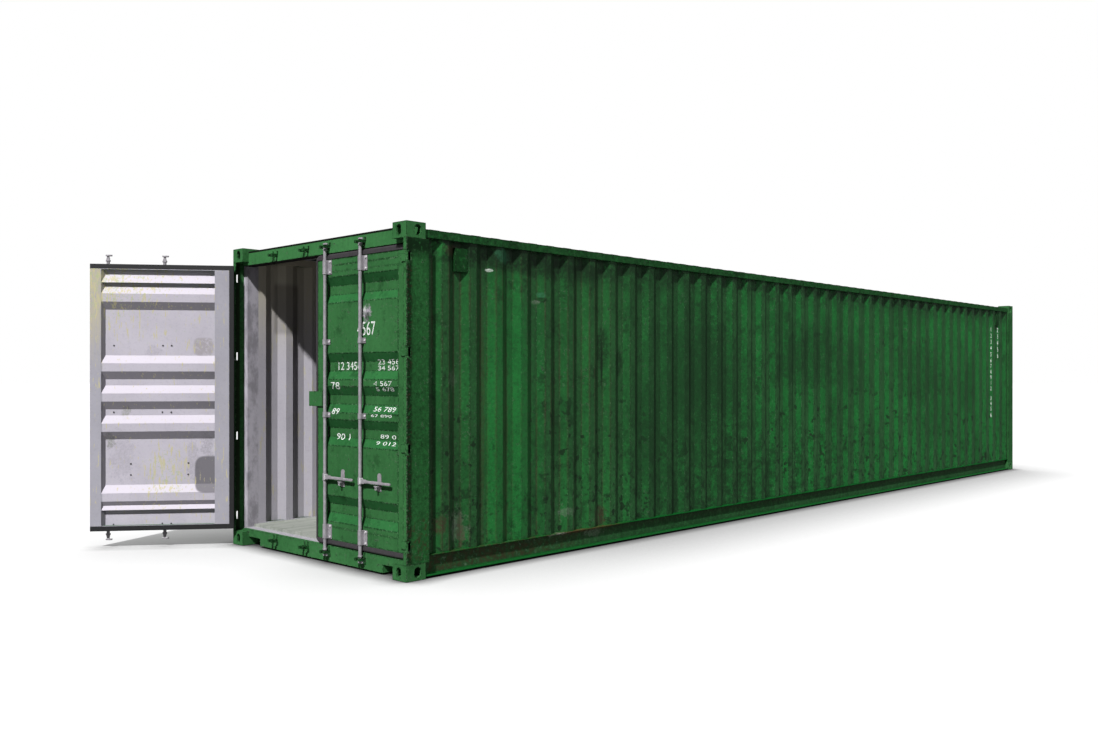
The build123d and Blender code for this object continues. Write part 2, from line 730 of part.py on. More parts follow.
def leaf_panel(side, free):
    """The pressed sheet between the stiles, with five flutes pressed inwards."""
    line = panel_line()
    outline = line + [(d + SHEET, z) for d, z in reversed(line)]
    sheet = across_leaf(side, outline, free + STILE_BACK, LEAF_HINGE_EDGE - HINGE_STILE)
    return sheet - free_stile(side, free)


def leaf_gasket(side, free, laps):
    """The rubber seal round the leaf; laps says whether it also closes the joint in the middle."""
    depth0 = RECESS - GASKET_PROUD
    depth1 = LEAF_BACK - 1.0
    inner = free - GASKET_LAP if laps else free
    outer = LEAF_HINGE_EDGE + GASKET_SIDE
    low = LEAF_LOW - GASKET_BAND
    top = LEAF_TOP + GASKET_BAND - 1.0
    seal = end_block(side, depth0, depth1, inner, outer, low, top)
    if laps:
        corners = seal.edges().filter_by(Axis.X).group_by(Axis.Y)[-1 if side < 0 else 0]
        seal = fillet(corners, GASKET_CORNER)
    seal = fillet(seal.faces().sort_by(Axis.X)[0].edges(), GASKET_ROUND)
    cut_in = free if laps else free - 1.0
    seal -= end_block(side, depth0 - 1, depth1 + 1, cut_in, LEAF_HINGE_EDGE, LEAF_LOW, LEAF_TOP)
    seal -= end_block(side, depth0 - 1, RECESS + GASKET_SETBACK, LEAF_HINGE_EDGE, outer + 1, low - 1, top + 1)
    return seal


BAR_BACK = RECESS - BAR_STAND


def bar_holder(side, place, level, height, back, reach):
    """A bearing for a lock bar: a foot on the leaf and a round hump over the bar."""
    z0 = level - height / 2
    z1 = level + height / 2
    shell = BAR_RADIUS + BAR_CLEARANCE + BRACKET_SHELL
    x = DOOR_END + BAR_BACK
    y = side * place
    holder = end_block(side, RECESS - BRACKET_PLATE, RECESS, place - back, place + reach, z0, z1)
    holder += upright(x, y, shell, z0, z1)
    holder += end_block(side, BAR_BACK, RECESS, place - shell, place + shell, z0, z1)
    holder -= upright(x, y, BAR_RADIUS + BAR_CLEARANCE, z0 - 1, z1 + 1)
    return holder


def bar_brackets(side):
    holders = []
    for place in BAR_PLACES:
        for level in BRACKET_LEVELS:
            holders.append(bar_holder(side, place, level, BRACKET_HEIGHT, BRACKET_BACK, BRACKET_REACH))
        for level in GUIDE_LEVELS:
            holders.append(bar_holder(side, place, level, GUIDE_HEIGHT, GUIDE_REACH, GUIDE_REACH))
    return holders


def handle_catch(side, place):
    """A plate behind the handle with a lip under it and a tab with the seal's eye."""
    at = place + CATCH_PLACE
    half = CATCH_WIDTH / 2
    shelf = HANDLE_LEVEL - HANDLE_HEIGHT / 2 - CATCH_GAP
    catch = end_block(side, RECESS - CATCH_PLATE, RECESS, at - half, at + half,
                      CATCH_LOW, CATCH_TOP - half)
    cap = Plane((DOOR_END + RECESS - CATCH_PLATE, side * at, CATCH_TOP - half), z_dir=(1, 0, 0))
    catch += extrude(cap * Circle(half), CATCH_PLATE, dir=(1, 0, 0))
    catch += end_block(side, RECESS - CATCH_PROUD, RECESS, at - half, at + half,
                       shelf - CATCH_LIP, shelf)
    tab_low = CATCH_LOW + half / 2
    catch += end_block(side, RECESS - CATCH_PROUD, RECESS - CATCH_PROUD + CATCH_LIP,
                       at - half / 2, at + half / 2, tab_low, shelf)
    eye = Plane((DOOR_END + RECESS - CATCH_PROUD - 1, side * at, tab_low + half / 2), z_dir=(1, 0, 0))
    catch -= extrude(eye * Circle(CATCH_EYE), CATCH_LIP + 2, dir=(1, 0, 0))
    return catch


def lock_plate():
    """A plate bolted to the right leaf that laps the joint between the leaves."""
    stand = LOCK_PLATE_GAP
    plate = end_block(-1, RECESS - stand - LOCK_PLATE_THICK, RECESS - stand,
                      -LOCK_PLATE_HALF, LOCK_PLATE_HALF, LOCK_PLATE_LOW, LOCK_PLATE_TOP)
    plate += end_block(-1, RECESS - stand, RECESS, RIGHT_FREE_EDGE + 5.0, LOCK_PLATE_HALF,
                       LOCK_PLATE_LOW, LOCK_PLATE_TOP)
    return plate


# Lock bars, handles and keepers


def between(level, way, near, far):
    """Two heights, measured from a level upwards or downwards, lowest first."""
    return sorted((level + way * near, level + way * far))


def oval(x, y, half_x, half_y, z0, z1):
    return extrude(Plane((x, y, z0)) * Ellipse(half_x, half_y), z1 - z0)


def cam(side, place, way):
    """A cam, from the bar to its tip: an oval collar, a tapered blade and an oval cap."""
    x = DOOR_END + BAR_BACK
    y = side * place
    root = BAR_TOP - CAM_HEIGHT if way > 0 else BAR_LOW + CAM_HEIGHT
    head = oval(x, y, CAM_COLLAR_DEEP, CAM_COLLAR_WIDE, *between(root, way, 0, CAM_COLLAR))
    cap_shift = side * (CAM_CAP_NOSE - CAM_CAP_BACK) / 2
    head += oval(x, y + cap_shift, CAM_CAP_DEEP, (CAM_CAP_NOSE + CAM_CAP_BACK) / 2,
                 *between(root, way, CAM_HEIGHT - CAM_CAP, CAM_HEIGHT))
    foot = root + way * CAM_COLLAR
    tip = root + way * (CAM_HEIGHT - CAM_CAP)
    half = CAM_BLADE_THICK / 2
    head += along_x([(y - CAM_BLADE_WIDE, foot), (y + CAM_BLADE_WIDE, foot),
                     (y + CAM_BLADE_TIP, tip), (y - CAM_BLADE_TIP, tip)], x - half, x + half)
    return head


def lock_bar(side, place):
    """A lock bar with a cam at each end and the forked hub that carries the handle."""
    x = DOOR_END + BAR_BACK
    y = side * place
    bar = upright(x, y, BAR_RADIUS, BAR_LOW + CAM_HEIGHT - 1.0, BAR_TOP - CAM_HEIGHT + 1.0)
    for way in (-1, 1):
        bar += cam(side, place, way)
    hub_low = HANDLE_LEVEL - HUB_HEIGHT / 2
    bar += upright(x, y, HUB_RADIUS, hub_low, hub_low + HUB_HEIGHT)
    slot = HANDLE_THICK / 2 + EAR_GAP
    for sign in (-1, 1):
        bar += block(x + sign * slot, x + sign * (slot + EAR_THICK), y,
                     side * (place + HANDLE_PIVOT + HANDLE_EYE),
                     HANDLE_LEVEL - HANDLE_EYE, HANDLE_LEVEL + HANDLE_EYE)
    pivot = Plane((x - slot - EAR_THICK, side * (place + HANDLE_PIVOT), HANDLE_LEVEL), z_dir=(1, 0, 0))
    bar += extrude(pivot * Circle(HANDLE_PIN), 2 * (slot + EAR_THICK), dir=(1, 0, 0))
    return bar


def handle(side, place):
    """A flat handle with a rounded eye at the hub and a rounded tip."""
    x = DOOR_END + BAR_BACK - HANDLE_THICK / 2
    root = place + HANDLE_PIVOT
    tip = place + HANDLE_REACH - HANDLE_HEIGHT / 2
    half = HANDLE_HEIGHT / 2
    neck = root + HANDLE_NECK
    slim = half - HANDLE_TAPER
    grip = along_x([(side * root, HANDLE_LEVEL - slim), (side * neck, HANDLE_LEVEL - half),
                    (side * tip, HANDLE_LEVEL - half), (side * tip, HANDLE_LEVEL + half),
                    (side * neck, HANDLE_LEVEL + half), (side * root, HANDLE_LEVEL + slim)],
                   x, x + HANDLE_THICK)
    for centre, radius in ((root, HANDLE_EYE), (tip, half)):
        end = Plane((x, side * centre, HANDLE_LEVEL), z_dir=(1, 0, 0))
        grip += extrude(end * Circle(radius), HANDLE_THICK, dir=(1, 0, 0))
    bore = Plane((x - 1, side * root, HANDLE_LEVEL), z_dir=(1, 0, 0))
    grip -= extrude(bore * Circle(HANDLE_PIN + PIN_CLEARANCE), HANDLE_THICK + 2, dir=(1, 0, 0))
    return grip


def keeper(side, place, way):
    """A keeper: a plate with two hooked ears round the cam's blade, two prongs and two legs."""
    root = BAR_TOP - CAM_HEIGHT if way > 0 else BAR_LOW + CAM_HEIGHT
    edge = HEADER_LOW + 2.0 if way > 0 else SILL_TOP - 2.0
    ear_low = CAM_COLLAR + KEEPER_GAP
    ear_top = CAM_HEIGHT - CAM_CAP - KEEPER_GAP
    ear_z = between(root, way, ear_low, ear_top)
    leg_z = between(root, way, way * (edge - root), ear_low + 1.0)
    prong_z = between(root, way, ear_top - 1.0, ear_top + KEEPER_PRONG_RISE)
    outer = KEEPER_EAR_IN + KEEPER_EAR
    body = end_block(side, RECESS - KEEPER_PLATE, RECESS, place - outer, place + outer, *ear_z)
    hole = Plane((DOOR_END + RECESS - KEEPER_PLATE - 1, side * place, sum(ear_z) / 2), z_dir=(1, 0, 0))
    body -= extrude(hole * Circle(KEEPER_HOLE), KEEPER_PLATE + 2, dir=(1, 0, 0))
    front = RECESS - KEEPER_PROUD
    for sign in (-1, 1):
        pieces = [
            (front, RECESS, KEEPER_EAR_IN, outer, ear_z),
            (front, front + KEEPER_HOOK, KEEPER_HOOK_IN, outer, ear_z),
            (RECESS - KEEPER_PLATE, RECESS, KEEPER_LEG_IN, KEEPER_LEG_IN + KEEPER_LEG, leg_z),
            (RECESS - 2 * KEEPER_PLATE, RECESS, KEEPER_PRONG_IN, KEEPER_PRONG_IN + KEEPER_PRONG, prong_z),
        ]
        for d0, d1, near, far, heights in pieces:
            body += end_block(side, d0, d1, place + sign * near, place + sign * far, *heights)
    return body


def cam_keepers():
    return [keeper(side, place, way) for side in (-1, 1) for place in BAR_PLACES for way in (-1, 1)]


def swung(shape, side, angle):
    """Turn a closed leaf's piece outwards about its hinge pins."""
    pin = Pos(DOOR_END + PIN_BACK, side * PIN_OUT, 0)
    return pin * Rot(0, 0, -side * angle) * pin.inverse() * shape


def write_leaf(name, side, free, laps, angle):
    def put(node, shapes):
        write(f"{name}_{node}", [swung(shape, side, angle) for shape in shapes])

    put("leaf_frame", [leaf_frame(side, free)])
    put("leaf_panel", [leaf_panel(side, free)])
    put("gasket", [leaf_gasket(side, free, laps)])
    put("hinge_blades", [hinge_blade(side, level) for level in HINGE_LEVELS])
    put("bar_brackets", bar_brackets(side))
    put("handle_catches", [handle_catch(side, place) for place in BAR_PLACES])
    for label, place in zip(("inner", "outer"), BAR_PLACES):
        put(f"{label}_lock_bar", [lock_bar(side, place)])
        put(f"{label}_handle", [handle(side, place)])


def main():
    os.makedirs("parts", exist_ok=True)
    write("top_castings", castings(True))
    write("bottom_castings", castings(False))
    write("left_door_post", [door_post(1)])
    write("right_door_post", [door_post(-1)])
    write("hinge_lugs", [hinge_lug(side, level) for side in (-1, 1) for level in HINGE_LEVELS])
    write("front_posts", [front_post(side) for side in (-1, 1)])
    write("door_header", [door_header()])
    write("door_sill", [door_sill()])
    write("threshold_plate", [threshold_plate()])
    write("front_top_rail", [front_top_rail()])
    write("front_bottom_rail", [front_bottom_rail()])
    write("front_wall", [front_wall()])
    write("top_side_rails", [top_side_rail(side) for side in (-1, 1)])
    write("bottom_side_rails", [bottom_side_rail(side) for side in (-1, 1)])
    write("left_side_wall", [side_wall(1)])
    write("right_side_wall", [side_wall(-1)])
    write("side_vents", side_vents())
    write("roof_panel", [roof_panel()])
    write("cross_members", cross_members())
    write("gooseneck_tunnel", [gooseneck_tunnel()])
    write("floor_boards", [floor_boards()])
    write("cam_keepers", cam_keepers())
    write_leaf("right", -1, RIGHT_FREE_EDGE, True, 0.0)
    write_leaf("left", 1, LEFT_FREE_EDGE, False, LEFT_OPEN)
    write("lock_plate", [lock_plate()])


main()
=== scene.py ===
import json
import math

import bpy
from mathutils import Matrix, Vector


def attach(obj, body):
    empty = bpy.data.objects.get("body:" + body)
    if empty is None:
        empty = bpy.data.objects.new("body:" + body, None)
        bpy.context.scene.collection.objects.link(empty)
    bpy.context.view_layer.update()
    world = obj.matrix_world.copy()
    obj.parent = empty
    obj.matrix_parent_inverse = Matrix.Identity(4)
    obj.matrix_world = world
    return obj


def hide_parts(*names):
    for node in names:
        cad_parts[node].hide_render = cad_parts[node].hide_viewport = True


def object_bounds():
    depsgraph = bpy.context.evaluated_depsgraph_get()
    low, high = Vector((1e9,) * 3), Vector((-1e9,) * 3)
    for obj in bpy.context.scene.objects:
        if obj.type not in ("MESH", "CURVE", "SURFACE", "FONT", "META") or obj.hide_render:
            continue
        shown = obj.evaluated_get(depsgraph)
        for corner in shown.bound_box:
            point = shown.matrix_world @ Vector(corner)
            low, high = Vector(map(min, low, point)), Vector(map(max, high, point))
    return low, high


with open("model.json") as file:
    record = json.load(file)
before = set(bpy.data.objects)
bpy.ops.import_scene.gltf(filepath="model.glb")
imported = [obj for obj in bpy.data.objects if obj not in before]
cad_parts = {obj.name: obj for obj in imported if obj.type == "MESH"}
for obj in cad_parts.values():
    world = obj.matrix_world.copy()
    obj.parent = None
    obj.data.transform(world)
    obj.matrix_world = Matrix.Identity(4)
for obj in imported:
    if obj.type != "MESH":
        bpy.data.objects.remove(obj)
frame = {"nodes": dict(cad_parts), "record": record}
cad_low, cad_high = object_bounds()
nodes = frame["nodes"]
record = frame["record"]
joints = {joint["name"]: joint for joint in record["behaviour"]["joints"]}

# Places on the container, in metres. The door end faces -X and the right leaf is at -Y.
DOOR_END = -round(cad_high.x, 3)
SIDE = -round(cad_low.y, 3)
LEAF_FACE = DOOR_END + 0.057

# The left leaf stands open: its range starts at the turn that closes it.
LEFT_SWING = joints["left_door_swing"]
PIN = Vector((*LEFT_SWING["pos_m"][:2], 0.0))
LEAF_OPEN = math.radians(-LEFT_SWING["range_deg"][0])
INSIDE_OF_OPEN_LEAF = (math.cos(LEAF_OPEN), -math.sin(LEAF_OPEN), 0.0)

# The door gear on the right leaf: its bars' distances from the middle, and its handles' height
BARS = {bar: -joints["right_%s_bar_turn" % bar]["pos_m"][1] for bar in ("inner", "outer")}
HANDLE_HEIGHT = joints["right_inner_handle_lift"]["pos_m"][2]
HANDLE_FROM_BAR = 0.044

# Levels on a long side: the bottom rail's web between its lip and ledge, dirty and darker towards the ledge
# with painted shade, and the wall's foot
LIP_FOOT = 0.0165
LIP_TOP = 0.0275
WEB_MIDDLE = 0.110
LEDGE_FOOT = 0.1605
WALL_FOOT = 0.1735


# Materials

# How far a fully ragged blot strays from its outline, in its own radii
STRAYING = 5.5
# Blots less ragged than this stay whole
SMOOTH_BLOT = 0.3
# A face counts as folded where its rounded normal strays this far from its own, as a cosine
FOLD_COSINE = 0.989


class Flow:
    """A value on its way through a material, which sums and products carry on."""

    def __init__(self, finish, socket):
        self.finish = finish
        self.socket = socket

    def maths(self, operation, *values):
        return self.finish.make("ShaderNodeMath", {"operation": operation}, *values)

    def unsigned(self):
        return self.maths("ABSOLUTE", self)

    def power(self, exponent):
        return self.maths("POWER", self, exponent)

    def __add__(self, other):
        return self.maths("ADD", self, other)

    def __radd__(self, other):
        return self.maths("ADD", other, self)

    def __sub__(self, other):
        return self.maths("SUBTRACT", self, other)

    def __rsub__(self, other):
        return self.maths("SUBTRACT", other, self)

    def __mul__(self, other):
        return self.maths("MULTIPLY", self, other)

    def __rmul__(self, other):
        return self.maths("MULTIPLY", other, self)

    def step(self, level, soft, under, over):
        """One value under a level and another over it, with a soft step between."""
        return self.finish.make("ShaderNodeMapRange", {"interpolation_type": "SMOOTHSTEP"},
                                self, level - soft, level + soft, under, over)

    def above(self, level, soft=0.02):
        """1 where the value is over the level, 0 where it is under."""
        return self.step(level, soft, 0.0, 1.0)

    def below(self, level, soft=0.02):
        return self.step(level, soft, 1.0, 0.0)

    def within(self, low, high, soft=0.02):
        return self.above(low, soft) * self.below(high, soft)


class Finish:
    """A material under construction: its node maker, the object's coordinates and the shader."""

    def __init__(self, name, roughness=0.6, metallic=0.0, shine=0.03):
        self.material = bpy.data.materials.new(name)
        self.material.use_nodes = True
        self.tree = self.material.node_tree
        self.shader = self.tree.nodes["Principled BSDF"]
        self.shader.inputs["Roughness"].default_value = roughness
        self.shader.inputs["Metallic"].default_value = metallic
        self.shader.inputs["Specular IOR Level"].default_value = shine
        coordinates = self.tree.nodes.new("ShaderNodeTexCoord")
        self.place = Flow(self, coordinates.outputs["Object"])
        self.facing = Flow(self, coordinates.outputs["Normal"])
        self.x = self.along(self.place, (1, 0, 0))
        self.y = self.along(self.place, (0, 1, 0))
        self.z = self.along(self.place, (0, 0, 1))

    def make(self, kind, settings, *values, **named):
        """A node of any kind, with its settings, then values or links for its sockets in order or by name."""
        node = self.tree.nodes.new(kind)
        for key, value in settings.items():
            setattr(node, key, value)
        sockets = [socket for socket in node.inputs if socket.enabled]
        by_name = [(node.inputs[name], value) for name, value in named.items()]
        for socket, value in list(zip(sockets, values)) + by_name:
            if isinstance(value, Flow):
                self.tree.links.new(value.socket, socket)
            else:
                socket.default_value = value
        return Flow(self, [socket for socket in node.outputs if socket.enabled][0])

    def along(self, vector, direction):
        """How far a vector reaches in one direction."""
        return self.make("ShaderNodeVectorMath", {"operation": "DOT_PRODUCT"}, vector, direction)

    def looks(self, direction, least=0.3, soft=0.1):
        """1 on faces that look in a direction."""
        return self.along(self.facing, direction).above(least, soft)

    def clouds(self, scale, size=1.0, shift=0.0, detail=4.0, rough=0.6):
        """Soft random values round 0.5, the patches 1 / (scale * size) metres across."""
        stretched = self.make("ShaderNodeMapping", {"vector_type": "POINT"}, self.place,
                              (shift, shift * 1.7, shift * 0.6), (0, 0, 0), scale)
        return self.make("ShaderNodeTexNoise", {"noise_dimensions": "3D"}, stretched,
                         Scale=size, Detail=detail, Roughness=rough)

    def blot(self, centre, radii, uneven, ragged=0.6, soft=0.25, turn=0.0):
        """1 inside an uneven blot round a place, 0 outside it."""
        offset = self.make("ShaderNodeMapping", {"vector_type": "TEXTURE"}, self.place,
                           centre, (0, 0, turn), radii)
        distance = self.make("ShaderNodeVectorMath", {"operation": "LENGTH"}, offset)
        return (distance + (uneven - 0.5) * (STRAYING * ragged)).below(1.0, soft)

    def square(self, along, middle, half, height, level, tall, soft):
        """1 inside a square with rounded corners, which two lengths on the piece place."""
        sideways = (along - middle) * (1.0 / half)
        upwards = (height - level) * (1.0 / tall)
        sideways = sideways * sideways
        upwards = upwards * upwards
        return (sideways * sideways + upwards * upwards).below(1.0, soft * 2)

    def blend(self, factor, first, second):
        """The first colour where the factor is 0 and the second where it is 1."""
        return self.make("ShaderNodeMix", {"data_type": "RGBA"}, factor, as_colour(first), as_colour(second))

    def worn_edges(self, radius):
        """1 on edges and folds, 0 on flats."""
        rounded = self.make("ShaderNodeBevel", {"samples": 4}, radius)
        true = self.tree.nodes.new("ShaderNodeNewGeometry")
        flat = self.make("ShaderNodeVectorMath", {"operation": "DOT_PRODUCT"}, rounded,
                         Flow(self, true.outputs["True Normal"]))
        return flat.below(FOLD_COSINE, 0.005)

    def put(self, name, value):
        """Sets or feeds one of the shader's sockets."""
        socket = self.shader.inputs[name]
        if isinstance(value, Flow):
            self.tree.links.new(value.socket, socket)
        else:
            socket.default_value = value

    def relief(self, height, distance, strength, rounding):
        """Bumps on faces whose edges look rounded."""
        rounded = self.make("ShaderNodeBevel", {"samples": 4}, rounding)
        self.put("Normal", self.make("ShaderNodeBump", {}, strength, distance, Height=height, Normal=rounded))


def as_colour(value):
    if isinstance(value, Flow):
        return value
    return (*value, 1.0)


def scaled(colour, factor):
    return tuple(channel * factor for channel in colour)


# Greens of the paint, and what grows on it
BRIGHT_GREEN = (0.0160, 0.1600, 0.0320)
CLEAN_GREEN = (0.0060, 0.1080, 0.0190)
WALL_GREEN = (0.0172, 0.0850, 0.0238)
# Painted shade: a darker green for wall slopes that look away from the light
SHADED_SLOPE_GREEN = (0.0170, 0.0700, 0.0220)
END_GREEN = (0.0320, 0.1210, 0.0390)
LEAF_GREEN = (0.0215, 0.1090, 0.0320)
RAIL_GREEN = (0.0120, 0.0420, 0.0150)
DARK_GREEN = (0.0040, 0.0250, 0.0065)
ALGAE = (0.0035, 0.0130, 0.0045)

# Worn, rusty and bare places on the green
TEAL = (0.0200, 0.0950, 0.0450)
BROWN = (0.0330, 0.0235, 0.0130)
DRY_RUST = (0.0600, 0.0330, 0.0150)
CHIP = (0.1000, 0.1350, 0.0950)
BARE = (0.4200, 0.4600, 0.4200)
LILAC = (0.3200, 0.2700, 0.3300)

# The pale paint inside, what stains it, and the painted bounce light and shade on it
PALE = (0.352, 0.333, 0.377)
PALE_STILE = (0.264, 0.257, 0.290)
PALE_WALL = (0.330, 0.315, 0.350)
# Painted bounce light: a lighter beige for inside faces that lie in shade
BOUNCE_LIGHT_BEIGE = (0.400, 0.370, 0.285)
STAIN = (0.360, 0.330, 0.190)
MOULD = (0.260, 0.310, 0.180)
# Soot and grime, and painted shade on the open leaf's faces that look down or towards its pins
SOOT_AND_SHADE = (0.100, 0.095, 0.105)

# Black for seams, and painted shade along the foot of the bottom rail's lip
SEAM_AND_SHADE_BLACK = (0.004, 0.006, 0.004)


def lay(finish, paint, blots, turn=0.0):
    """Uneven blots of colour over the paint: colour, centre, radii, strength and raggedness."""
    uneven = finish.clouds((1, 1, 1), 15.0, 6.6, 8.0, 0.8)
    grit = finish.clouds((1, 1, 1), 52.0, 13.3, 5.0, 0.8)
    broken = grit.above(0.50, 0.05) * 0.6 + 0.4
    for colour, centre, radii, strength, ragged in blots:
        blot = finish.blot(centre, radii, uneven, ragged, 0.3, turn)
        if ragged > SMOOTH_BLOT:
            blot = blot * broken
        paint = finish.blend(blot * strength, paint, colour)
    return paint


def green_coat(finish, paint, streaks, mottles, chips, edge=0.012, grain=0.40):
    """Weathered green paint over a ground colour: clouds, drips, algae and chipped edges."""
    broad = finish.clouds((1, 1, 1), 1.3, 3.1)
    fine = finish.clouds((1, 1, 1), 34.0, 5.3, 5.0, 0.7)
    drips = finish.clouds((11.0, 11.0, 0.5), 1.0, 7.7, 6.0, 0.7)
    spots = finish.clouds((1, 1, 1), 7.0, 9.9, 9.0, 0.78)
    paint = finish.blend(broad.below(0.5, 0.22) * 0.35, paint, DARK_GREEN)
    paint = finish.blend(fine.above(0.54, 0.10) * grain, paint, DARK_GREEN)
    paint = finish.blend(fine.below(0.42, 0.06) * grain * 0.6, paint, BRIGHT_GREEN)
    paint = finish.blend(drips.above(0.55, 0.10) * streaks, paint, DARK_GREEN)
    paint = finish.blend(spots.above(0.58, 0.05) * mottles, paint, ALGAE)
    edges = finish.worn_edges(edge)
    grit = finish.clouds((1, 1, 1), 60.0, 2.2, 4.0, 0.7)
    paint = finish.blend(edges * grit.below(0.52, 0.05) * chips, paint, ALGAE)
    paint = finish.blend(edges * grit.above(0.60, 0.03) * chips * 0.8, paint, CHIP)
    dust = finish.clouds((1, 1, 1), 120.0, 14.2, 3.0, 0.75)
    paint = finish.blend(dust.above(0.60, 0.04) * grain, paint, ALGAE)
    flakes = finish.clouds((1, 1, 1), 24.0, 18.4, 5.0, 0.75)
    paint = finish.blend(flakes.within(0.625, 0.65, 0.010) * chips * 0.55, paint, CHIP)
    paint = finish.blend(flakes.above(0.655, 0.010) * chips * 0.85, paint, ALGAE)
    finish.relief(fine + spots * 0.5, 0.002, 0.5, 0.004)
    return paint


def pale_coat(finish, colour, runs_level=0.63):
    """The pale grey inside paint with yellowish runs and faint grime."""
    broad = finish.clouds((1, 1, 1), 2.6, 4.4, 5.0, 0.6)
    fine = finish.clouds((1, 1, 1), 45.0, 3.3, 4.0, 0.7)
    runs = finish.clouds((26.0, 26.0, 5.0), 1.0, 6.1, 6.0, 0.75)
    paint = finish.blend(broad.above(0.52, 0.2) * 0.14, colour, SOOT_AND_SHADE)
    paint = finish.blend(fine.above(0.60, 0.1) * 0.12, paint, SOOT_AND_SHADE)
    return finish.blend(runs.above(runs_level, 0.03) * 0.55, paint, STAIN)


# Long sides


def on_side(along, height):
    """A place on the right side, in metres from the door end and up."""
    return (DOOR_END + along, -SIDE, height)


# Blots on the right side: colour, metres from the door end and up, half sizes, strength, raggedness
SIDE_BLOTS = (
    (CLEAN_GREEN, 1.05, 1.10, 0.30, 1.15, 0.55, 0.4),
    (BROWN, 0.78, 1.10, 0.035, 1.00, 0.45, 0.5),
    (BROWN, 1.03, 1.00, 0.035, 0.85, 0.45, 0.6),
    (ALGAE, 0.95, 2.43, 0.85, 0.110, 0.92, 0.45),
    (ALGAE, 1.60, 2.36, 0.60, 0.080, 0.75, 0.6),
    (ALGAE, 0.40, 2.44, 0.260, 0.090, 0.95, 0.35),
    (BROWN, 0.46, 2.42, 0.090, 0.040, 0.70, 0.60),
    (BRIGHT_GREEN, 0.33, 2.42, 0.070, 0.060, 0.55, 0.90),
    (TEAL, 0.99, 2.42, 0.085, 0.060, 0.75, 0.5),
    (BARE, 0.85, 2.302, 0.027, 0.012, 0.85, 0.6),
    (ALGAE, 1.13, 2.45, 0.050, 0.050, 0.85, 0.2),
    (TEAL, 1.43, 2.14, 0.045, 0.022, 0.75, 0.4),
    (ALGAE, 1.43, 2.10, 0.055, 0.022, 0.95, 0.4),
    (CHIP, 1.38, 2.08, 0.035, 0.018, 0.80, 0.7),
    (ALGAE, 2.21, 1.72, 0.070, 0.180, 0.85, 0.35),
    (ALGAE, 2.21, 1.57, 0.014, 0.170, 0.85, 0.3),
    (ALGAE, 2.44, 1.59, 0.060, 0.120, 0.80, 0.35),
    (CHIP, 0.47, 1.45, 0.045, 0.070, 0.35, 0.9),
    (BROWN, 0.17, 0.36, 0.040, 0.110, 0.85, 0.5),
    (BROWN, 0.34, 0.37, 0.050, 0.060, 0.85, 0.5),
    (CHIP, 0.53, 0.34, 0.080, 0.110, 0.45, 0.9),
    (BROWN, 0.56, 0.30, 0.030, 0.120, 0.80, 0.8),
    (BROWN, 2.17, 0.24, 0.075, 0.090, 0.80, 0.6),
    (CHIP, 1.72, 0.33, 0.090, 0.030, 0.45, 0.9),
    (ALGAE, 3.28, 0.30, 0.040, 0.150, 0.65, 0.7),
    (ALGAE, 3.61, 0.24, 0.080, 0.090, 0.65, 0.8),
    (ALGAE, 4.35, 0.40, 0.110, 0.130, 0.45, 1.3),
    (DARK_GREEN, 3.35, 1.15, 0.75, 1.10, 0.55, 0.7),
    (DARK_GREEN, 4.10, 1.55, 0.65, 0.45, 0.75, 0.7),
    (DARK_GREEN, 5.80, 1.65, 0.70, 0.32, 0.80, 0.7),
    (DARK_GREEN, 8.80, 1.50, 0.80, 0.40, 0.70, 0.8),
    (DARK_GREEN, 9.60, 0.95, 0.90, 0.50, 0.35, 1.0),
    (ALGAE, 8.21, 0.84, 0.090, 0.045, 0.55, 0.9),
    (DARK_GREEN, 3.75, 2.15, 0.120, 0.200, 0.55, 0.6),
)


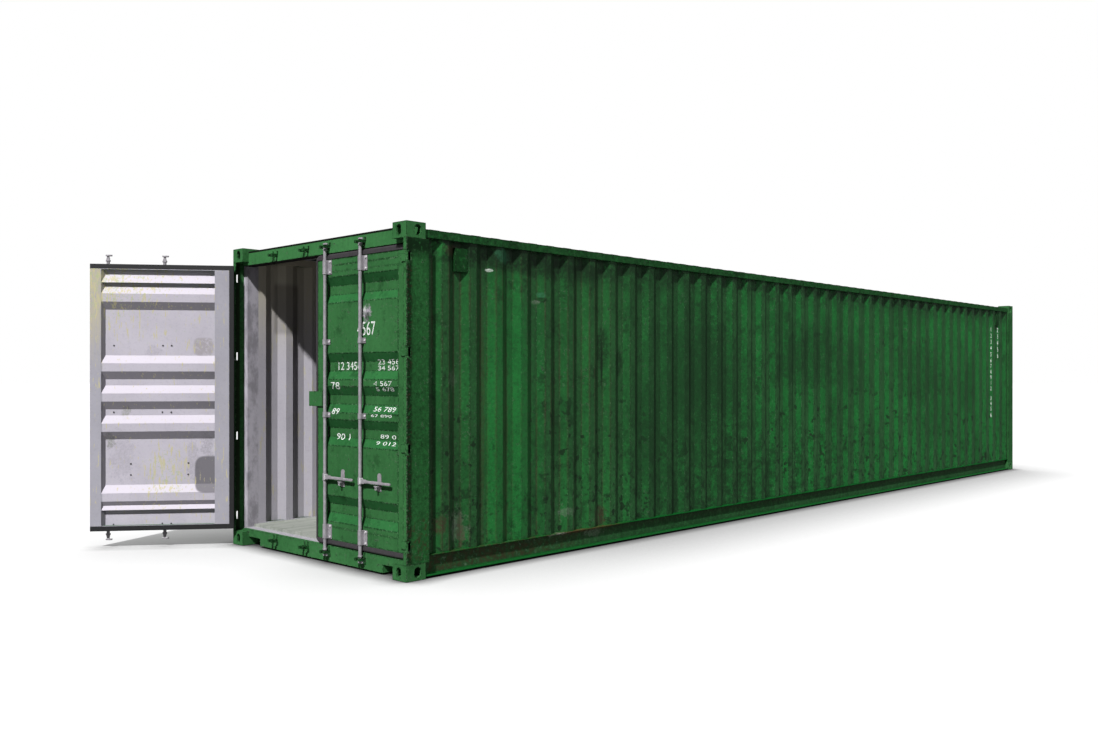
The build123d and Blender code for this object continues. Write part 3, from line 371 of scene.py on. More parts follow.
def side_wall_finish(name, side):
    """A long wall: fluted green outside, with a painted highlight on the slopes that look towards the door
    end, painted shade on those that look away and painted sheen that leaves it lighter away from the door
    end; pale and grimy inside, with painted bounce light high up.
    """
    finish = Finish(name, 0.6, shine=0.11)
    # Painted highlight and shade: faces that look towards the door end take a cleaner, brighter green, and
    # faces that look away a darker one
    paint = finish.blend(finish.looks((-1, 0, 0)), scaled(WALL_GREEN, 0.94), scaled(CLEAN_GREEN, 0.84))
    paint = finish.blend(finish.looks((1, 0, 0)), paint, SHADED_SLOPE_GREEN)
    # Painted sheen: the wall is darker towards the door end, so its far end reads lighter
    sheen_falloff_near_doors = finish.x.below(DOOR_END + 4.0, 1.5)
    paint = finish.blend(sheen_falloff_near_doors * 0.50, paint, scaled(WALL_GREEN, 0.75))
    paint = green_coat(finish, paint, 0.16, 0.60, 0.85, 0.018, 0.28)
    rusty = finish.clouds((3.0, 3.0, 0.4), 1.0, 31.0, 7.0, 0.75)
    near = finish.x.below(DOOR_END + 2.2, 0.9)
    paint = finish.blend(finish.worn_edges(0.030) * near * rusty.above(0.50, 0.08) * 0.75, paint, BROWN)
    smears = finish.clouds((1.3, 1.0, 0.7), 0.9, 12.4, 7.0, 0.72)
    paint = finish.blend(smears.above(0.55, 0.07) * 0.50, paint, DARK_GREEN)
    spatter = finish.clouds((1, 1, 1), 16.0, 21.3, 7.0, 0.75)
    low = finish.z.below(0.85, 0.55)
    paint = finish.blend(spatter.above(0.565, 0.04) * low * 0.85, paint, ALGAE)
    pits = finish.clouds((1, 1, 1), 11.0, 61.2, 2.0, 0.5)
    paint = finish.blend(pits.above(0.665, 0.015) * finish.z.below(1.35, 0.35) * 0.85, paint, ALGAE)
    middle = finish.x.within(DOOR_END + 2.9, DOOR_END + 6.6, 0.7) * finish.z.below(2.2, 0.4)
    damp = smears.above(0.47, 0.06) * middle * spatter.above(0.47, 0.06)
    paint = finish.blend(damp * 0.6, paint, DARK_GREEN)
    high = finish.z.above(2.33, 0.14)
    paint = finish.blend(spatter.above(0.48, 0.07) * high * 0.75, paint, ALGAE)
    if side < 0:
        blots = [(colour, on_side(along, height), (half, 0.3, tall), strength, ragged)
                 for colour, along, height, half, tall, strength, ragged in SIDE_BLOTS]
        paint = lay(finish, paint, blots)
    paint = finish.blend(finish.z.below(WALL_FOOT, 0.002), paint, scaled(CLEAN_GREEN, 0.65))
    inside = pale_coat(finish, PALE_WALL, 0.61)
    # Painted bounce light: the inside is lighter and beiger high up
    inside = finish.blend(finish.z.above(2.0, 0.5) * 0.9, inside, BOUNCE_LIGHT_BEIGE)
    # A dark square patch on the wall's inside, near the doorway
    dark_square_patch = finish.x.within(DOOR_END + 0.39, DOOR_END + 0.64, 0.02)
    dark_square_patch = dark_square_patch * finish.z.within(1.86, 2.31, 0.03)
    inside = finish.blend(dark_square_patch * 0.35, inside, (0.02, 0.02, 0.02))
    finish.put("Base Color", finish.blend(finish.looks((0, -side, 0), 0.02, 0.01), paint, inside))
    return finish.material


def top_rail_finish():
    """Mottled green with a dark wavy line along its top, and pale with painted bounce light inside."""
    finish = Finish("top_rail_mottled_green", 0.6)
    paint = green_coat(finish, scaled(WALL_GREEN, 0.72), 0.2, 0.6, 0.5, 0.006)
    spatter = finish.clouds((1, 1, 1), 26.0, 21.3, 7.0, 0.8)
    paint = finish.blend(spatter.above(0.56, 0.04) * 0.65, paint, ALGAE)
    wavy = finish.clouds((1, 1, 1), 4.0, 8.3, 3.0) * 0.012
    paint = finish.blend((finish.z + wavy).above(2.547, 0.002) * 0.4, paint, SEAM_AND_SHADE_BLACK)
    inner = finish.y.unsigned().below(SIDE - 0.059, 0.002)
    # Painted bounce light on the rail's inner faces
    finish.put("Base Color", finish.blend(inner, paint, BOUNCE_LIGHT_BEIGE))
    return finish.material


def bottom_rail_finish():
    """A recessed web, dirty and darkened towards the ledge with painted shade, between a clean ledge above
    and a clean lip below, whose foot is painted black as shade.
    """
    finish = Finish("bottom_rail_green", 0.6)
    # Partly dirt and partly painted shade: the upper web, under the ledge, is darker and browner than the
    # lower web
    web = finish.blend(finish.z.above(WEB_MIDDLE, 0.045), scaled(RAIL_GREEN, 1.5), (0.020, 0.034, 0.016))
    paint = green_coat(finish, web, 0.1, 0.35, 0.4, 0.004)
    paint = finish.blend(finish.z.above(LEDGE_FOOT, 0.001), paint, scaled(CLEAN_GREEN, 0.55))
    paint = finish.blend(finish.z.below(LIP_TOP, 0.001), paint, scaled(CLEAN_GREEN, 0.85))
    # Painted shade: a black band along the lip's foot
    paint = finish.blend(finish.z.below(LIP_FOOT, 0.002), paint, SEAM_AND_SHADE_BLACK)
    scale = finish.clouds((1, 1, 1), 24.0, 17.3, 6.0, 0.8)
    near = finish.x.below(DOOR_END + 1.7, 0.5) * finish.z.above(0.035, 0.01)
    paint = finish.blend(scale.above(0.50, 0.06) * near * 0.7, paint, BROWN)
    paint = finish.blend(scale.below(0.40, 0.03) * near * 0.5, paint, CHIP)
    blots = (
        (DRY_RUST, on_side(1.95, 0.160), (0.45, 0.3, 0.018), 0.9, 0.5),
        (BARE, on_side(1.62, 0.158), (0.12, 0.3, 0.010), 0.35, 0.8),
        (CHIP, on_side(2.08, 0.120), (0.12, 0.3, 0.030), 0.5, 1.3),
    )
    paint = lay(finish, paint, blots)
    inner = finish.y.unsigned().below(SIDE - 0.062, 0.001) * finish.z.above(0.155, 0.002)
    finish.put("Base Color", finish.blend(inner, paint, PALE_WALL))
    return finish.material


# Door end

HEADER_EDGE = 2.549
SEAL_LINE = DOOR_END + 0.1005


def header_finish():
    """Bleached green with a black top edge, painted shade where it looks down and pale with painted bounce
    light where it looks inwards.
    """
    finish = Finish("door_header_green", 0.6)
    paint = green_coat(finish, scaled(END_GREEN, 1.12), 0.1, 0.25, 0.9, 0.010, 0.13)
    paint = finish.blend(finish.z.above(HEADER_EDGE, 0.002), paint, (0.005, 0.008, 0.005))
    paint = finish.blend(finish.looks((1, 0, 0)), paint, BOUNCE_LIGHT_BEIGE)
    # Painted shade: faces that look down are near black
    finish.put("Base Color", finish.blend(finish.looks((0, 0, -1)), paint, (0.012, 0.011, 0.010)))
    return finish.material


def post_finish(name, side):
    """A corner post: green outside with algae along its corner, painted shade in its hollow beside the
    doorway, pale behind the door seal.
    """
    finish = Finish(name, 0.6)
    flank = finish.looks((0, side, 0), 0.5, 0.1)
    paint = green_coat(finish, finish.blend(flank, scaled(END_GREEN, 1.05), WALL_GREEN), 0.2, 0.3, 0.9)
    spatter = finish.clouds((1, 1, 1), 20.0, 11.3, 7.0, 0.8)
    crust = finish.clouds((1, 1, 1), 42.0, 19.3, 6.0, 0.8)
    corner = finish.x.within(DOOR_END, DOOR_END + 0.050, 0.016) * flank
    paint = finish.blend(corner * crust.above(0.44, 0.06), paint, ALGAE)
    paint = finish.blend(corner * crust.above(0.58, 0.03) * 0.8, paint, BROWN)
    brow = finish.z.within(2.36, 2.49, 0.05) * flank
    paint = finish.blend(brow * crust.above(0.40, 0.06) * 0.95, paint, ALGAE)
    paint = finish.blend(flank * spatter.above(0.58, 0.04) * 0.5, paint, ALGAE)
    foot = finish.z.below(0.45, 0.10) * flank
    paint = finish.blend(foot * spatter.above(0.55, 0.05) * 0.7, paint, BROWN)
    speck = finish.clouds((1, 1, 1), 75.0, 4.2, 4.0, 0.7)
    ridge = finish.x.below(DOOR_END + 0.007, 0.003) * finish.looks((0, side, 0), 0.1, 0.1)
    paint = finish.blend(ridge * speck.above(0.53, 0.03) * 0.8, paint, CHIP)
    grime = finish.clouds((1.0, 1.0, 0.5), 7.0, 2.9, 6.0, 0.7)
    inner = finish.blend(grime.above(0.50, 0.12) * 0.6, PALE_WALL, SOOT_AND_SHADE)
    # Painted shade: the post's hollow faces that look into the doorway are a near-black green
    shaded_hollow = finish.x.within(DOOR_END + 0.008, DOOR_END + 0.060, 0.001)
    shaded_hollow = shaded_hollow * finish.looks((0, -side, 0), 0.5, 0.1)
    paint = finish.blend(shaded_hollow * 0.92, paint, (0.016, 0.026, 0.013))
    behind = finish.x.above(SEAL_LINE, 0.0005) * (1 - flank)
    finish.put("Base Color", finish.blend(behind, paint, inner))
    return finish.material


def leaf_green(finish):
    """The outside of a leaf: green sheet, paler stiles and rails, dark chipped fold lines."""
    flat = finish.looks((0, 0, 1), 0.2, 0.1) + finish.looks((0, 0, -1), 0.2, 0.1)
    paint = finish.blend(flat, scaled(END_GREEN, 0.92), LEAF_GREEN)
    return green_coat(finish, paint, 0.12, 0.40, 1.0, 0.018, 0.13)


def right_leaf_finish(name):
    """The closed leaf: green outside with one scraped place, pale inside."""
    finish = Finish(name, 0.6)
    paint = leaf_green(finish)
    blots = (
        (LILAC, (LEAF_FACE, -0.658, 1.962), (0.1, 0.045, 0.045), 0.85, 1.2),
        (ALGAE, (LEAF_FACE, -0.675, 1.930), (0.1, 0.022, 0.022), 0.85, 1.0),
        (BARE, (LEAF_FACE, -0.640, 1.990), (0.1, 0.020, 0.018), 0.75, 1.0),
    )
    paint = lay(finish, paint, blots)
    inner = finish.looks((1, 0, 0), 0.02, 0.01)
    finish.put("Base Color", finish.blend(inner, paint, pale_coat(finish, PALE)))
    return finish.material


# From the pins to the free edge of the open leaf
ACROSS_OPEN_LEAF = Vector((-math.sin(LEAF_OPEN), -math.cos(LEAF_OPEN), 0.0))
OPEN_TURN = math.atan2(ACROSS_OPEN_LEAF.y, ACROSS_OPEN_LEAF.x)
FREE_STILE = 1.088
HINGE_STILE = 0.158

# Blots inside the open leaf: colour, metres from its pins and up, half sizes, strength, raggedness
OPEN_LEAF_BLOTS = (
    (SOOT_AND_SHADE, 0.235, 0.880, 0.060, 0.090, 0.35, 0.9),
    (SOOT_AND_SHADE, 0.345, 0.760, 0.050, 0.180, 0.25, 0.9),
    ((0.140, 0.150, 0.110), 0.905, 1.165, 0.040, 0.060, 0.60, 0.6),
    ((0.110, 0.120, 0.085), 1.030, 0.930, 0.035, 0.070, 0.60, 0.7),
    (SOOT_AND_SHADE, 0.680, 1.690, 0.070, 0.060, 0.22, 0.9),
    (SOOT_AND_SHADE, 0.930, 0.760, 0.100, 0.180, 0.20, 1.2),
)


def left_leaf_finish(name):
    """The open leaf: green outside, pale inside with yellow runs, mould and dark blots, painted shade on
    faces that look down or towards its pins and a painted highlight on faces that look up.
    """
    finish = Finish(name, 0.6)
    across = finish.along(finish.place, ACROSS_OPEN_LEAF) - PIN.dot(ACROSS_OPEN_LEAF)
    stile = across.above(FREE_STILE, 0.004) + across.below(HINGE_STILE, 0.004)
    inner = pale_coat(finish, finish.blend(stile, PALE, PALE_STILE), 0.66)
    blots = [(colour, tuple(PIN + ACROSS_OPEN_LEAF * along + Vector((0, 0, height))), (half, 0.3, tall),
              strength, ragged)
             for colour, along, height, half, tall, strength, ragged in OPEN_LEAF_BLOTS]
    inner = lay(finish, inner, blots, OPEN_TURN)
    # Painted shade on faces that look down or towards the pins
    down = finish.looks((0, 0, -1), 0.25, 0.1) + finish.looks(-ACROSS_OPEN_LEAF, 0.25, 0.1)
    inner = finish.blend(down * 0.55, inner, scaled(SOOT_AND_SHADE, 0.9))
    # Painted highlight on faces that look up
    up = finish.looks((0, 0, 1), 0.25, 0.1)
    inner = finish.blend(up * 0.8, inner, (0.430, 0.400, 0.450))
    dirty = finish.square(across, 0.205, 0.127, finish.z, 0.620, 0.158, 0.12)
    inner = finish.blend(dirty * across.above(0.160, 0.003) * 0.85, inner, scaled(SOOT_AND_SHADE, 0.85))
    worn = finish.clouds((1, 1, 1), 30.0, 51.1, 5.0, 0.7)
    brown = finish.square(across, 0.258, 0.082, finish.z, 1.733, 0.078, 0.30) * worn.above(0.42, 0.12)
    inner = finish.blend(brown * 0.5, inner, (0.175, 0.155, 0.150))
    runs = finish.clouds((52.0, 52.0, 8.0), 1.0, 16.1, 5.0, 0.65)
    dots = finish.clouds((1, 1, 1), 42.0, 26.1, 5.0, 0.75)
    high = across.above(0.60, 0.50) * finish.z.above(1.95, 0.35)
    middle = across.within(0.38, 0.74, 0.10) * finish.z.within(0.42, 0.85, 0.15)
    edge = across.above(1.10, 0.03) * finish.z.above(1.75, 0.30)
    where = high * 0.11 + middle * 0.09
    beige = finish.clouds((60.0, 60.0, 4.0), 1.0, 41.1, 6.0, 0.7)
    inner = finish.blend(edge * beige.above(0.44, 0.10) * 0.75, inner, (0.330, 0.300, 0.215))
    inner = finish.blend((runs + where).above(0.635, 0.025) * 0.8, inner, STAIN)
    inner = finish.blend((dots + where).above(0.665, 0.025) * 0.6, inner, MOULD)
    green = leaf_green(finish)
    finish.put("Base Color", finish.blend(finish.looks(INSIDE_OF_OPEN_LEAF, 0.02, 0.01), green, inner))
    return finish.material


def two_sided(name, inside, tone):
    """Green outside and pale inside: inside is the direction that the inner faces look."""
    finish = Finish(name, 0.6)
    green = green_coat(finish, scaled(WALL_GREEN, tone), 0.5, 0.5, 0.7)
    pale = pale_coat(finish, PALE_WALL)
    finish.put("Base Color", finish.blend(finish.looks(inside, 0.02, 0.01), green, pale))
    return finish.material


def one_sided(name, colour, streaks, mottles, chips, edge=0.010, grain=0.15):
    """Weathered green all over."""
    finish = Finish(name, 0.6)
    finish.put("Base Color", green_coat(finish, colour, streaks, mottles, chips, edge, grain))
    return finish.material


def plain(name, colour, roughness, metallic=0.0, change=0.15):
    """One colour that varies a little either way."""
    finish = Finish(name, roughness, metallic, 0.3)
    clouds = finish.clouds((1, 1, 1), 30.0, 1.3, 4.0)
    darker = scaled(colour, 1 - change)
    lighter = scaled(colour, 1 + change)
    finish.put("Base Color", finish.blend(clouds.above(0.5, 0.2), darker, lighter))
    finish.relief(clouds, 0.0008, 0.4, 0.003)
    return finish.material


def plywood():
    """Worn plywood with cracks between its flaking patches."""
    finish = Finish("worn_plywood_floor", 0.7)
    grain = finish.clouds((0.6, 14.0, 1.0), 1.0, 2.9, 6.0, 0.7)
    patches = finish.clouds((1, 1, 1), 2.2, 8.8, 6.0, 0.7)
    cracks = finish.make("ShaderNodeTexVoronoi", {"feature": "DISTANCE_TO_EDGE"}, finish.place, Scale=4.5)
    wood = finish.blend(grain.above(0.5, 0.2), (0.172, 0.184, 0.166), (0.252, 0.262, 0.238))
    wood = finish.blend(patches.above(0.62, 0.05) * 0.5, wood, (0.14, 0.165, 0.12))
    finish.put("Base Color", finish.blend(cracks.below(0.018, 0.012) * 0.40, wood, (0.13, 0.15, 0.115)))
    return finish.material


# Finishes by the record's material slots, and those of pieces that have their own
SLOT_FINISHES = {
    "end_paint": one_sided("door_end_green", END_GREEN, 0.1, 0.30, 0.9),
    "side_paint": one_sided("side_frame_green", WALL_GREEN, 0.4, 0.5, 0.7),
    "roof_paint": two_sided("roof_green", (0, 0, -1), 0.6),
    "under_paint": plain("underside_coating", (0.020, 0.020, 0.020), 0.7),
    "galvanised": plain("dull_galvanised_steel", (0.245, 0.232, 0.250), 0.45, 0.25),
    "seal_rubber": plain("door_seal_rubber", (0.031, 0.028, 0.031), 0.5, 0.0, 0.1),
    "floor_wood": plywood(),
    "threshold_steel": plain("scuffed_threshold_plate", (0.270, 0.262, 0.285), 0.5),
}
NODE_FINISHES = {
    "left_side_wall": side_wall_finish("left_wall_paint", 1),
    "right_side_wall": side_wall_finish("right_wall_paint", -1),
    "front_wall": two_sided("blank_end_paint", (-1, 0, 0), 1.0),
    "top_side_rails": top_rail_finish(),
    "bottom_side_rails": bottom_rail_finish(),
    "side_vents": one_sided("vent_green", scaled(WALL_GREEN, 0.45), 0.3, 0.9, 0.9, 0.012, 0.6),
    "door_header": header_finish(),
    "left_door_post": post_finish("left_post_paint", 1),
    "right_door_post": post_finish("right_post_paint", -1),
    # Painted shade: the keepers are a darker green for their shadowed sides
    "cam_keepers": one_sided("shaded_keeper_green", scaled(END_GREEN, 0.40), 0.1, 0.9, 0.9, 0.005, 0.6),
    "left_gasket": plain("open_leaf_seal_rubber", (0.008, 0.008, 0.009), 0.6, 0.0, 0.1),
}
for leaf_part in ("leaf_frame", "leaf_panel"):
    NODE_FINISHES["left_" + leaf_part] = left_leaf_finish("left_" + leaf_part + "_paint")
    NODE_FINISHES["right_" + leaf_part] = right_leaf_finish("right_" + leaf_part + "_paint")

slot_of = {part["node"]: part["material_slot"] for part in record["subparts"]}
for name, node in nodes.items():
    for holder in node.material_slots:
        holder.material = NODE_FINISHES.get(name) or SLOT_FINISHES[slot_of[name]]


# Modelling by hand, and places on a leaf


def pick(*pieces):
    """Selects these pieces alone and makes the first one active."""
    bpy.ops.object.select_all(action="DESELECT")
    for piece in pieces:
        piece.select_set(True)
    bpy.context.view_layer.objects.active = pieces[0]


def place_in_mesh():
    """Applies the selected piece's place, so that its object sits at the origin."""
    bpy.ops.object.transform_apply(location=True, rotation=True, scale=True)


def copy_of(model):
    pick(model)
    bpy.ops.object.duplicate()
    return bpy.context.object


def remove(piece):
    pick(piece)
    bpy.ops.object.delete()


def apply_bevel(piece, width, segments):
    """Rounds or chamfers every sharp edge of the picked piece."""
    bpy.ops.object.modifier_add(type="BEVEL")
    bevel = piece.modifiers[0]
    bevel.width = width
    bevel.segments = segments
    bpy.ops.object.modifier_apply(modifier=bevel.name)


def model_block(name, size):
    """A plain block round the origin."""
    bpy.ops.object.select_all(action="DESELECT")
    bpy.ops.mesh.primitive_cube_add(size=1.0, location=(0, 0, 0), scale=size)
    block = bpy.context.object
    block.name = name
    place_in_mesh()
    return block


def swung(point):
    """Where a point of the closed left leaf lies once the leaf stands open."""
    return PIN + Matrix.Rotation(-LEAF_OPEN, 3, "Z") @ (Vector(point) - PIN)


def on_leaf(side, across, depth, height):
    """A place on a leaf, from its pins, behind the end plane and up, as the leaf stands."""
    point = Vector((DOOR_END + depth, side * (PIN.y - across), height))
    return swung(point) if side > 0 else point


def leaf_direction(side, direction):
    """A direction on a closed leaf, turned with it as the leaf stands."""
    return Matrix.Rotation(-LEAF_OPEN if side > 0 else 0.0, 3, "Z") @ Vector(direction)


# Bolts

WASHER_THICKNESS = 0.002
WASHER_MIDDLE = 0.0008
HEAD_FOOT = 0.0015


def model_bolt(name, radius, height, washer, material):
    """A hexagon head on a round washer, standing on the origin."""
    bpy.ops.object.select_all(action="DESELECT")
    bpy.ops.mesh.primitive_cylinder_add(vertices=6, radius=radius, depth=height,
                                        location=(0, 0, HEAD_FOOT + height / 2))
    bolt = bpy.context.object
    bolt.name = name
    place_in_mesh()
    apply_bevel(bolt, height * 0.2, 1)
    bpy.ops.object.mode_set(mode="EDIT")
    bpy.ops.mesh.select_all(action="DESELECT")
    bpy.ops.mesh.primitive_cylinder_add(vertices=16, radius=washer, depth=WASHER_THICKNESS,
                                        location=(0, 0, WASHER_MIDDLE))
    bpy.ops.object.mode_set(mode="OBJECT")
    bolt.data.materials.append(material)
    return bolt


def place_copies(model, name, spots, body):
    """One piece from copies of a model, each at a place and looking in a direction."""
    copies = []
    for place, direction in spots:
        copy = copy_of(model)
        copy.location = place
        copy.rotation_mode = "QUATERNION"
        copy.rotation_quaternion = Vector(direction).to_track_quat("Z", "Y")
        copies.append(copy)
    pick(*copies)
    place_in_mesh()
    bpy.ops.object.join()
    whole = bpy.context.object
    whole.name = name
    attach(whole, body)


# The faces that bolts stand on, behind the end plane
BRACKET_FACE = 0.052
INNER_FACE = 0.0605
# The brackets at the ends of the lock bars and the guides between them, with their bolts
BRACKET_LEVELS = (0.251, 2.335)
BRACKET_BOLT_RISE = 0.042
GUIDE_LEVELS = (1.172, 1.746)
# Bolt ends inside a leaf, in metres from its pins and up
BOLT_ENDS = (
    (0.999, 2.300), (0.595, 2.301), (0.525, 2.299), (1.002, 1.740), (0.599, 1.742), (0.527, 1.742),
    (1.004, 1.165), (0.603, 1.163), (0.529, 1.162), (0.864, 0.719), (0.386, 0.720), (0.864, 0.622),
    (0.388, 0.621), (1.006, 0.197), (0.603, 0.198), (0.529, 0.196),
)


def bracket_bolts(side):
    """Spots of the bright bolts beside a leaf's bars, and of the small dark ones."""
    bright = []
    dark = []
    outward = leaf_direction(side, (-1, 0, 0))
    for bar in BARS.values():
        across = PIN.y - bar
        for level in BRACKET_LEVELS:
            for rise in (-BRACKET_BOLT_RISE, BRACKET_BOLT_RISE):
                bright.append((on_leaf(side, across - 0.043, BRACKET_FACE, level + rise), outward))
                dark.append((on_leaf(side, across + 0.019, BRACKET_FACE, level + rise), outward))
        for level in GUIDE_LEVELS:
            bright.append((on_leaf(side, across - 0.031, BRACKET_FACE, level), outward))
    return bright, dark


bright_steel = plain("bright_bolt_steel", (0.50, 0.48, 0.50), 0.4, 0.3)
dark_steel = plain("dark_bolt_steel", (0.060, 0.056, 0.060), 0.6, 0.2)
bright_bolt = model_bolt("bolt", 0.0085, 0.006, 0.011, bright_steel)
dark_bolt = model_bolt("small_bolt", 0.0058, 0.004, 0.0075, dark_steel)
for leaf, side in (("right", -1), ("left", 1)):
    bright, dark = bracket_bolts(side)
    place_copies(bright_bolt, leaf + "_bracket_bolts", bright, leaf + "_door")
    place_copies(dark_bolt, leaf + "_small_bolts", dark, leaf + "_door")
    inward = leaf_direction(side, (1, 0, 0))
    ends = [(on_leaf(side, across, INNER_FACE, height), inward) for across, height in BOLT_ENDS]
    place_copies(dark_bolt, leaf + "_bolt_ends", ends, leaf + "_door")
remove(bright_bolt)
remove(dark_bolt)


# Handles

EYE_SIZE = (0.020, 0.012, 0.024)
# From the eye to the tip: how far each stretch of the grip runs, and how much its height changes
GRIP_STRETCHES = (
    (0.020, 1.10), (0.045, 0.75), (0.045, 1.20), (0.034, 0.95), (0.110, 0.85), (0.050, 1.1), (0.020, 0.8),
)
EYE_BORE = 0.0052
DRILL_LENGTH = 0.03
HUB_BLOCK_SIZE = (0.014, 0.032, 0.044)
HUB_BLOCK_FROM_BAR = 0.019
GRIP_DEPTH = 0.026
HUB_BLOCK_DEPTH = 0.028


def model_handle():
    """A forged grip that runs along X from its eye: a wide eye, a waist and a slim end."""
    grip = model_block("handle", EYE_SIZE)
    bpy.ops.object.mode_set(mode="EDIT")
    bpy.ops.mesh.select_mode(type="FACE")
    bpy.ops.mesh.select_all(action="DESELECT")
    bpy.ops.object.mode_set(mode="OBJECT")
    for face in grip.data.polygons:
        face.select = face.normal.x > 0.9
    bpy.ops.object.mode_set(mode="EDIT")
    for length, change in GRIP_STRETCHES:
        bpy.ops.mesh.extrude_region_move(TRANSFORM_OT_translate={"value": (length, 0, 0)})
        bpy.ops.transform.resize(value=(1, 1, change))
    bpy.ops.object.mode_set(mode="OBJECT")
    apply_bevel(grip, 0.003, 2)
    bpy.ops.mesh.primitive_cylinder_add(vertices=24, radius=EYE_BORE, depth=DRILL_LENGTH,
                                        rotation=(math.radians(90), 0, 0))
    drill = bpy.context.object
    pick(grip)
    bpy.ops.object.modifier_add(type="BOOLEAN")
    bore = grip.modifiers[0]
    bore.object = drill
    bore.operation = "DIFFERENCE"
    bpy.ops.object.modifier_apply(modifier=bore.name)
    remove(drill)
    pick(grip)
    bpy.ops.object.shade_smooth_by_angle(angle=math.radians(40))
    grip.data.materials.append(SLOT_FINISHES["galvanised"])
    return grip


def model_hub_block():
    """The clamp between a lock bar and its handle."""
    block = model_block("hub_block", HUB_BLOCK_SIZE)
    apply_bevel(block, 0.003, 2)
    block.data.materials.append(bright_steel)
    return block


def set_on_leaf(model, name, side, across, depth, body):
    """A copy of a model that runs along X, laid along a leaf at the handles' height."""
    copy = copy_of(model)
    copy.name = name
    copy.location = on_leaf(side, across, depth, HANDLE_HEIGHT)
    to_pins = leaf_direction(side, (0, side, 0))
    copy.rotation_euler = (0, 0, math.atan2(to_pins.y, to_pins.x))
    place_in_mesh()
    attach(copy, body)
    return copy


handle_model = model_handle()
block_model = model_hub_block()
for leaf, side in (("right", -1), ("left", 1)):
    for bar_name, bar in BARS.items():
        gear = leaf + "_" + bar_name
        across = PIN.y - bar
        grip = set_on_leaf(handle_model, gear + "_forged_handle", side,
                           across - HANDLE_FROM_BAR, GRIP_DEPTH, gear + "_handle")
        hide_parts(gear + "_handle")
        set_on_leaf(block_model, gear + "_hub_block", side,
                    across - HUB_BLOCK_FROM_BAR, HUB_BLOCK_DEPTH, gear + "_bar")
remove(handle_model)
remove(block_model)


# Digits

# How far in front of its sheet a text is laid out, and how far above the sheet it ends
BEFORE_SHEET = 0.05
STENCIL_LIFT = 0.0008
# How flat text turns to look out of the door end and out of the right side
TO_DOOR_END = Matrix.Rotation(math.radians(-90), 4, "Z") @ Matrix.Rotation(math.radians(90), 4, "X")
TO_SIDE = Matrix.Rotation(math.radians(90), 4, "X")


def digits(name, figures, turn, foot, width, height, sheet, folds):
    """Stencilled digits that fill a rectangle in front of a folded sheet and then lie on it."""
    bpy.ops.object.select_all(action="DESELECT")
    bpy.ops.object.text_add()
    row = bpy.context.object
    row.name = name
    row.data.body = figures
    row.data.resolution_u = 3
    bpy.ops.object.convert(target="MESH")
    row = bpy.context.object
    corners = [vertex.co for vertex in row.data.vertices]
    first = Vector((min(c.x for c in corners), min(c.y for c in corners), 0))
    last = Vector((max(c.x for c in corners), max(c.y for c in corners), 0))
    stretch = Matrix.Diagonal((width / (last.x - first.x), height / (last.y - first.y), 1, 1))
    row.matrix_world = Matrix.Translation(foot) @ turn @ stretch @ Matrix.Translation(-first)
    place_in_mesh()
    bpy.ops.object.mode_set(mode="EDIT")
    for point, normal in folds:
        bpy.ops.mesh.select_all(action="SELECT")
        bpy.ops.mesh.bisect(plane_co=point, plane_no=normal)
    bpy.ops.object.mode_set(mode="OBJECT")
    bpy.ops.object.modifier_add(type="SHRINKWRAP")
    wrap = row.modifiers[0]
    wrap.target = sheet
    wrap.wrap_method = "PROJECT"
    wrap.use_project_x = turn is TO_DOOR_END
    wrap.use_project_y = turn is TO_SIDE
    wrap.use_project_z = False
    wrap.wrap_mode = "ABOVE_SURFACE"
    wrap.offset = STENCIL_LIFT
    bpy.ops.object.modifier_apply(modifier=wrap.name)
    row.data.materials.append(stencil_white)
    return row


def stencil():
    """Worn white stencil paint with flakes of the green below."""
    finish = Finish("worn_stencil_paint", 0.6)
    flakes = finish.clouds((1, 1, 1), 38.0, 9.4, 6.0, 0.8)
    finish.put("Base Color", finish.blend(flakes.above(0.57, 0.04) * 0.8, (0.52, 0.54, 0.52), END_GREEN))
    return finish.material


stencil_white = stencil()
# The leaf's folds, where digits bend: the middles of its ribs and the folds either side of them
RIBS = (0.434, 1.034, 1.293, 1.552, 2.152)
FOLDS_FROM_RIB = (-0.103, -0.035, 0.035, 0.103)
LEAF_FOLDS = [((0, 0, rib + fold), (0, 0, 1)) for rib in RIBS for fold in FOLDS_FROM_RIB]
# Rows on the right leaf: the digits, their two ends from the middle of the doors, foot and top
LEAF_DIGITS = (
    ("4567", 0.548, 0.774, 1.784, 1.889),
    ("12 3456", 0.250, 0.545, 1.525, 1.586),
    ("23 456", 0.762, 1.018, 1.563, 1.602),
    ("34 567", 0.762, 1.018, 1.519, 1.554),
    ("78", 0.197, 0.313, 1.373, 1.429),
    ("4 567", 0.753, 0.974, 1.402, 1.438),
    ("5 678", 0.774, 0.991, 1.364, 1.393),
    ("89", 0.207, 0.300, 1.178, 1.224),
    ("56 789", 0.735, 0.999, 1.210, 1.245),
    ("67 890", 0.721, 0.974, 1.169, 1.189),
    ("90 1", 0.230, 0.409, 0.978, 1.027),
    ("89 01", 0.792, 1.018, 1.008, 1.038),
    ("9 012", 0.756, 0.999, 0.960, 0.986),
)
for number, (figures, left, right, low, high) in enumerate(LEAF_DIGITS):
    foot = Vector((DOOR_END - BEFORE_SHEET, -left, low))
    row = digits("leaf_digits_%02d" % number, figures, TO_DOOR_END, foot,
                 right - left, high - low, nodes["right_leaf_panel"], LEAF_FOLDS)
    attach(row, "right_door")

COLUMN_WIDTH = 0.020
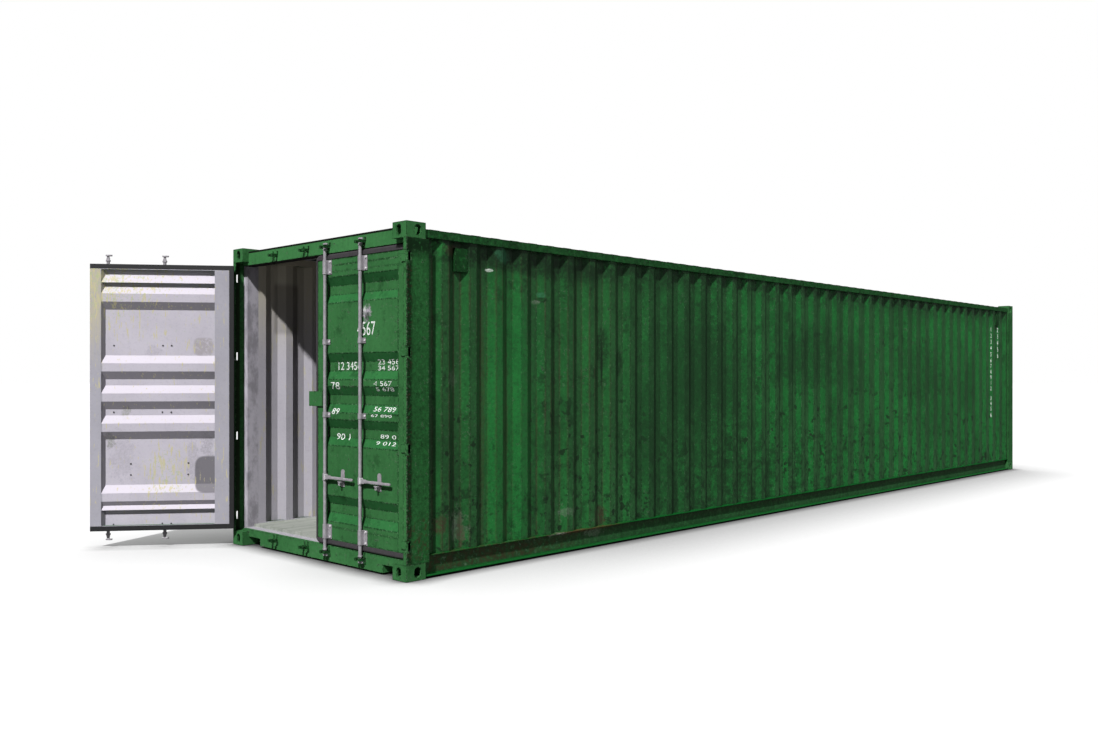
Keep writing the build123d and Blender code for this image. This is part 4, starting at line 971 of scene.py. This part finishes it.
# Columns near the blank end: the digits, metres from the door end to their middle, foot and top
WALL_DIGITS = (
    ("1\n2\n3\n4\n5", 11.379, 1.78, 2.23),
    ("6\n7\n8\n9\n1\n2", 11.379, 1.26, 1.75),
    ("3\n4\n5", 11.379, 0.95, 1.165),
    ("6", 11.379, 0.85, 0.915),
    ("2\n3\n4\n5\n6", 11.655, 1.76, 2.23),
)
for number, (figures, along, low, high) in enumerate(WALL_DIGITS):
    foot = Vector((DOOR_END + along - COLUMN_WIDTH / 2, -SIDE - BEFORE_SHEET, low))
    column = digits("wall_digits_%02d" % number, figures, TO_SIDE, foot,
                    COLUMN_WIDTH, high - low, nodes["right_side_wall"], [])
    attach(column, "frame")


# The room, the light and the camera


def floor_finish():
    """Glows near white where it is looked at, with painted shade from ambient occlusion where the container
    stands over or beside it.
    """
    finish = Finish("pale_studio_floor", 0.9, shine=0.0)
    by_the_doors = finish.x.below(DOOR_END + 1.496, 1.4)
    # Painted shade: ambient occlusion darkens the floor's colour and its glow beside and under the container
    contact_shade = finish.make("ShaderNodeAmbientOcclusion", {"samples": 12}, (1, 1, 1, 1), 0.22).power(2.0)
    bare_floor = finish.blend(by_the_doors, (0.07, 0.07, 0.07), (0.33, 0.33, 0.33))
    finish.put("Base Color", finish.blend(contact_shade, (0.02, 0.02, 0.02), bare_floor))
    open_sky = finish.make("ShaderNodeAmbientOcclusion", {"samples": 12}, (1, 1, 1, 1), 1.5).power(1.5)
    finish.put("Emission Color", open_sky * (0.97 - by_the_doors * 0.48) * contact_shade)
    finish.put("Emission Strength", 1.0)
    grey = finish.tree.nodes.new("ShaderNodeBsdfDiffuse")
    grey.inputs["Color"].default_value = (0.2, 0.2, 0.2, 1.0)
    rays = finish.tree.nodes.new("ShaderNodeLightPath")
    either = finish.tree.nodes.new("ShaderNodeMixShader")
    finish.tree.links.new(rays.outputs["Is Camera Ray"], either.inputs[0])
    finish.tree.links.new(grey.outputs[0], either.inputs[1])
    finish.tree.links.new(finish.shader.outputs[0], either.inputs[2])
    finish.tree.links.new(either.outputs[0], finish.tree.nodes["Material Output"].inputs["Surface"])
    return finish.material


def studio_floor():
    """A wide floor just below the castings."""
    bpy.ops.object.select_all(action="DESELECT")
    bpy.ops.mesh.primitive_plane_add(size=400.0, location=(0, 0, -0.002))
    floor = bpy.context.object
    floor.name = "studio_floor"
    floor.data.materials.append(floor_finish())


def sun(name, towards_light, strength, softness):
    """A light from far away, as soft as its width in degrees."""
    bpy.ops.object.light_add(type="SUN", location=(0, 0, 12))
    light = bpy.context.object
    light.name = name
    light.data.energy = strength
    light.data.angle = math.radians(softness)
    light.rotation_mode = "QUATERNION"
    light.rotation_quaternion = Vector(towards_light).to_track_quat("Z", "Y")


def white_room(light_level):
    """White where it is looked at, and a dimmer even light on the container."""
    world = bpy.data.worlds.new("white_room")
    bpy.context.scene.world = world
    world.use_nodes = True
    tree = world.node_tree
    tree.nodes.clear()
    seen = tree.nodes.new("ShaderNodeBackground")
    seen.inputs["Color"].default_value = (1, 1, 1, 1)
    lit = tree.nodes.new("ShaderNodeBackground")
    lit.inputs["Color"].default_value = (0.97, 0.97, 1.0, 1)
    lit.inputs["Strength"].default_value = light_level
    rays = tree.nodes.new("ShaderNodeLightPath")
    either = tree.nodes.new("ShaderNodeMixShader")
    out = tree.nodes.new("ShaderNodeOutputWorld")
    tree.links.new(rays.outputs["Is Camera Ray"], either.inputs[0])
    tree.links.new(lit.outputs[0], either.inputs[1])
    tree.links.new(seen.outputs[0], either.inputs[2])
    tree.links.new(either.outputs[0], out.inputs["Surface"])


# The photo's camera: its place, and its heading in degrees from +X towards +Y
CAMERA_PLACE = (-10.593, -6.906, 1.474)
CAMERA_HEADING = 43.59


def photo_camera():
    """A level camera in the place that was solved from the photo."""
    bpy.ops.object.camera_add(location=CAMERA_PLACE)
    camera = bpy.context.object
    camera.rotation_euler = (math.radians(90.0), 0.0, math.radians(CAMERA_HEADING - 90.0))
    camera.data.sensor_width = 36.0
    camera.data.lens = 32.94
    camera.data.shift_y = 0.0081
    camera.data.clip_end = 500.0
    bpy.context.scene.camera = camera


studio_floor()
sun("sun_light", (-0.862, -0.40, 1.0), 7.0, 2.5)
sun("fill_light", (0.45, -1.0, 0.35), 0.9, 40.0)
sun("far_side_light", (0.50, 1.0, 0.20), 1.5, 40.0)
white_room(0.11)
photo_camera()
bpy.context.scene.view_settings.view_transform = "Standard"
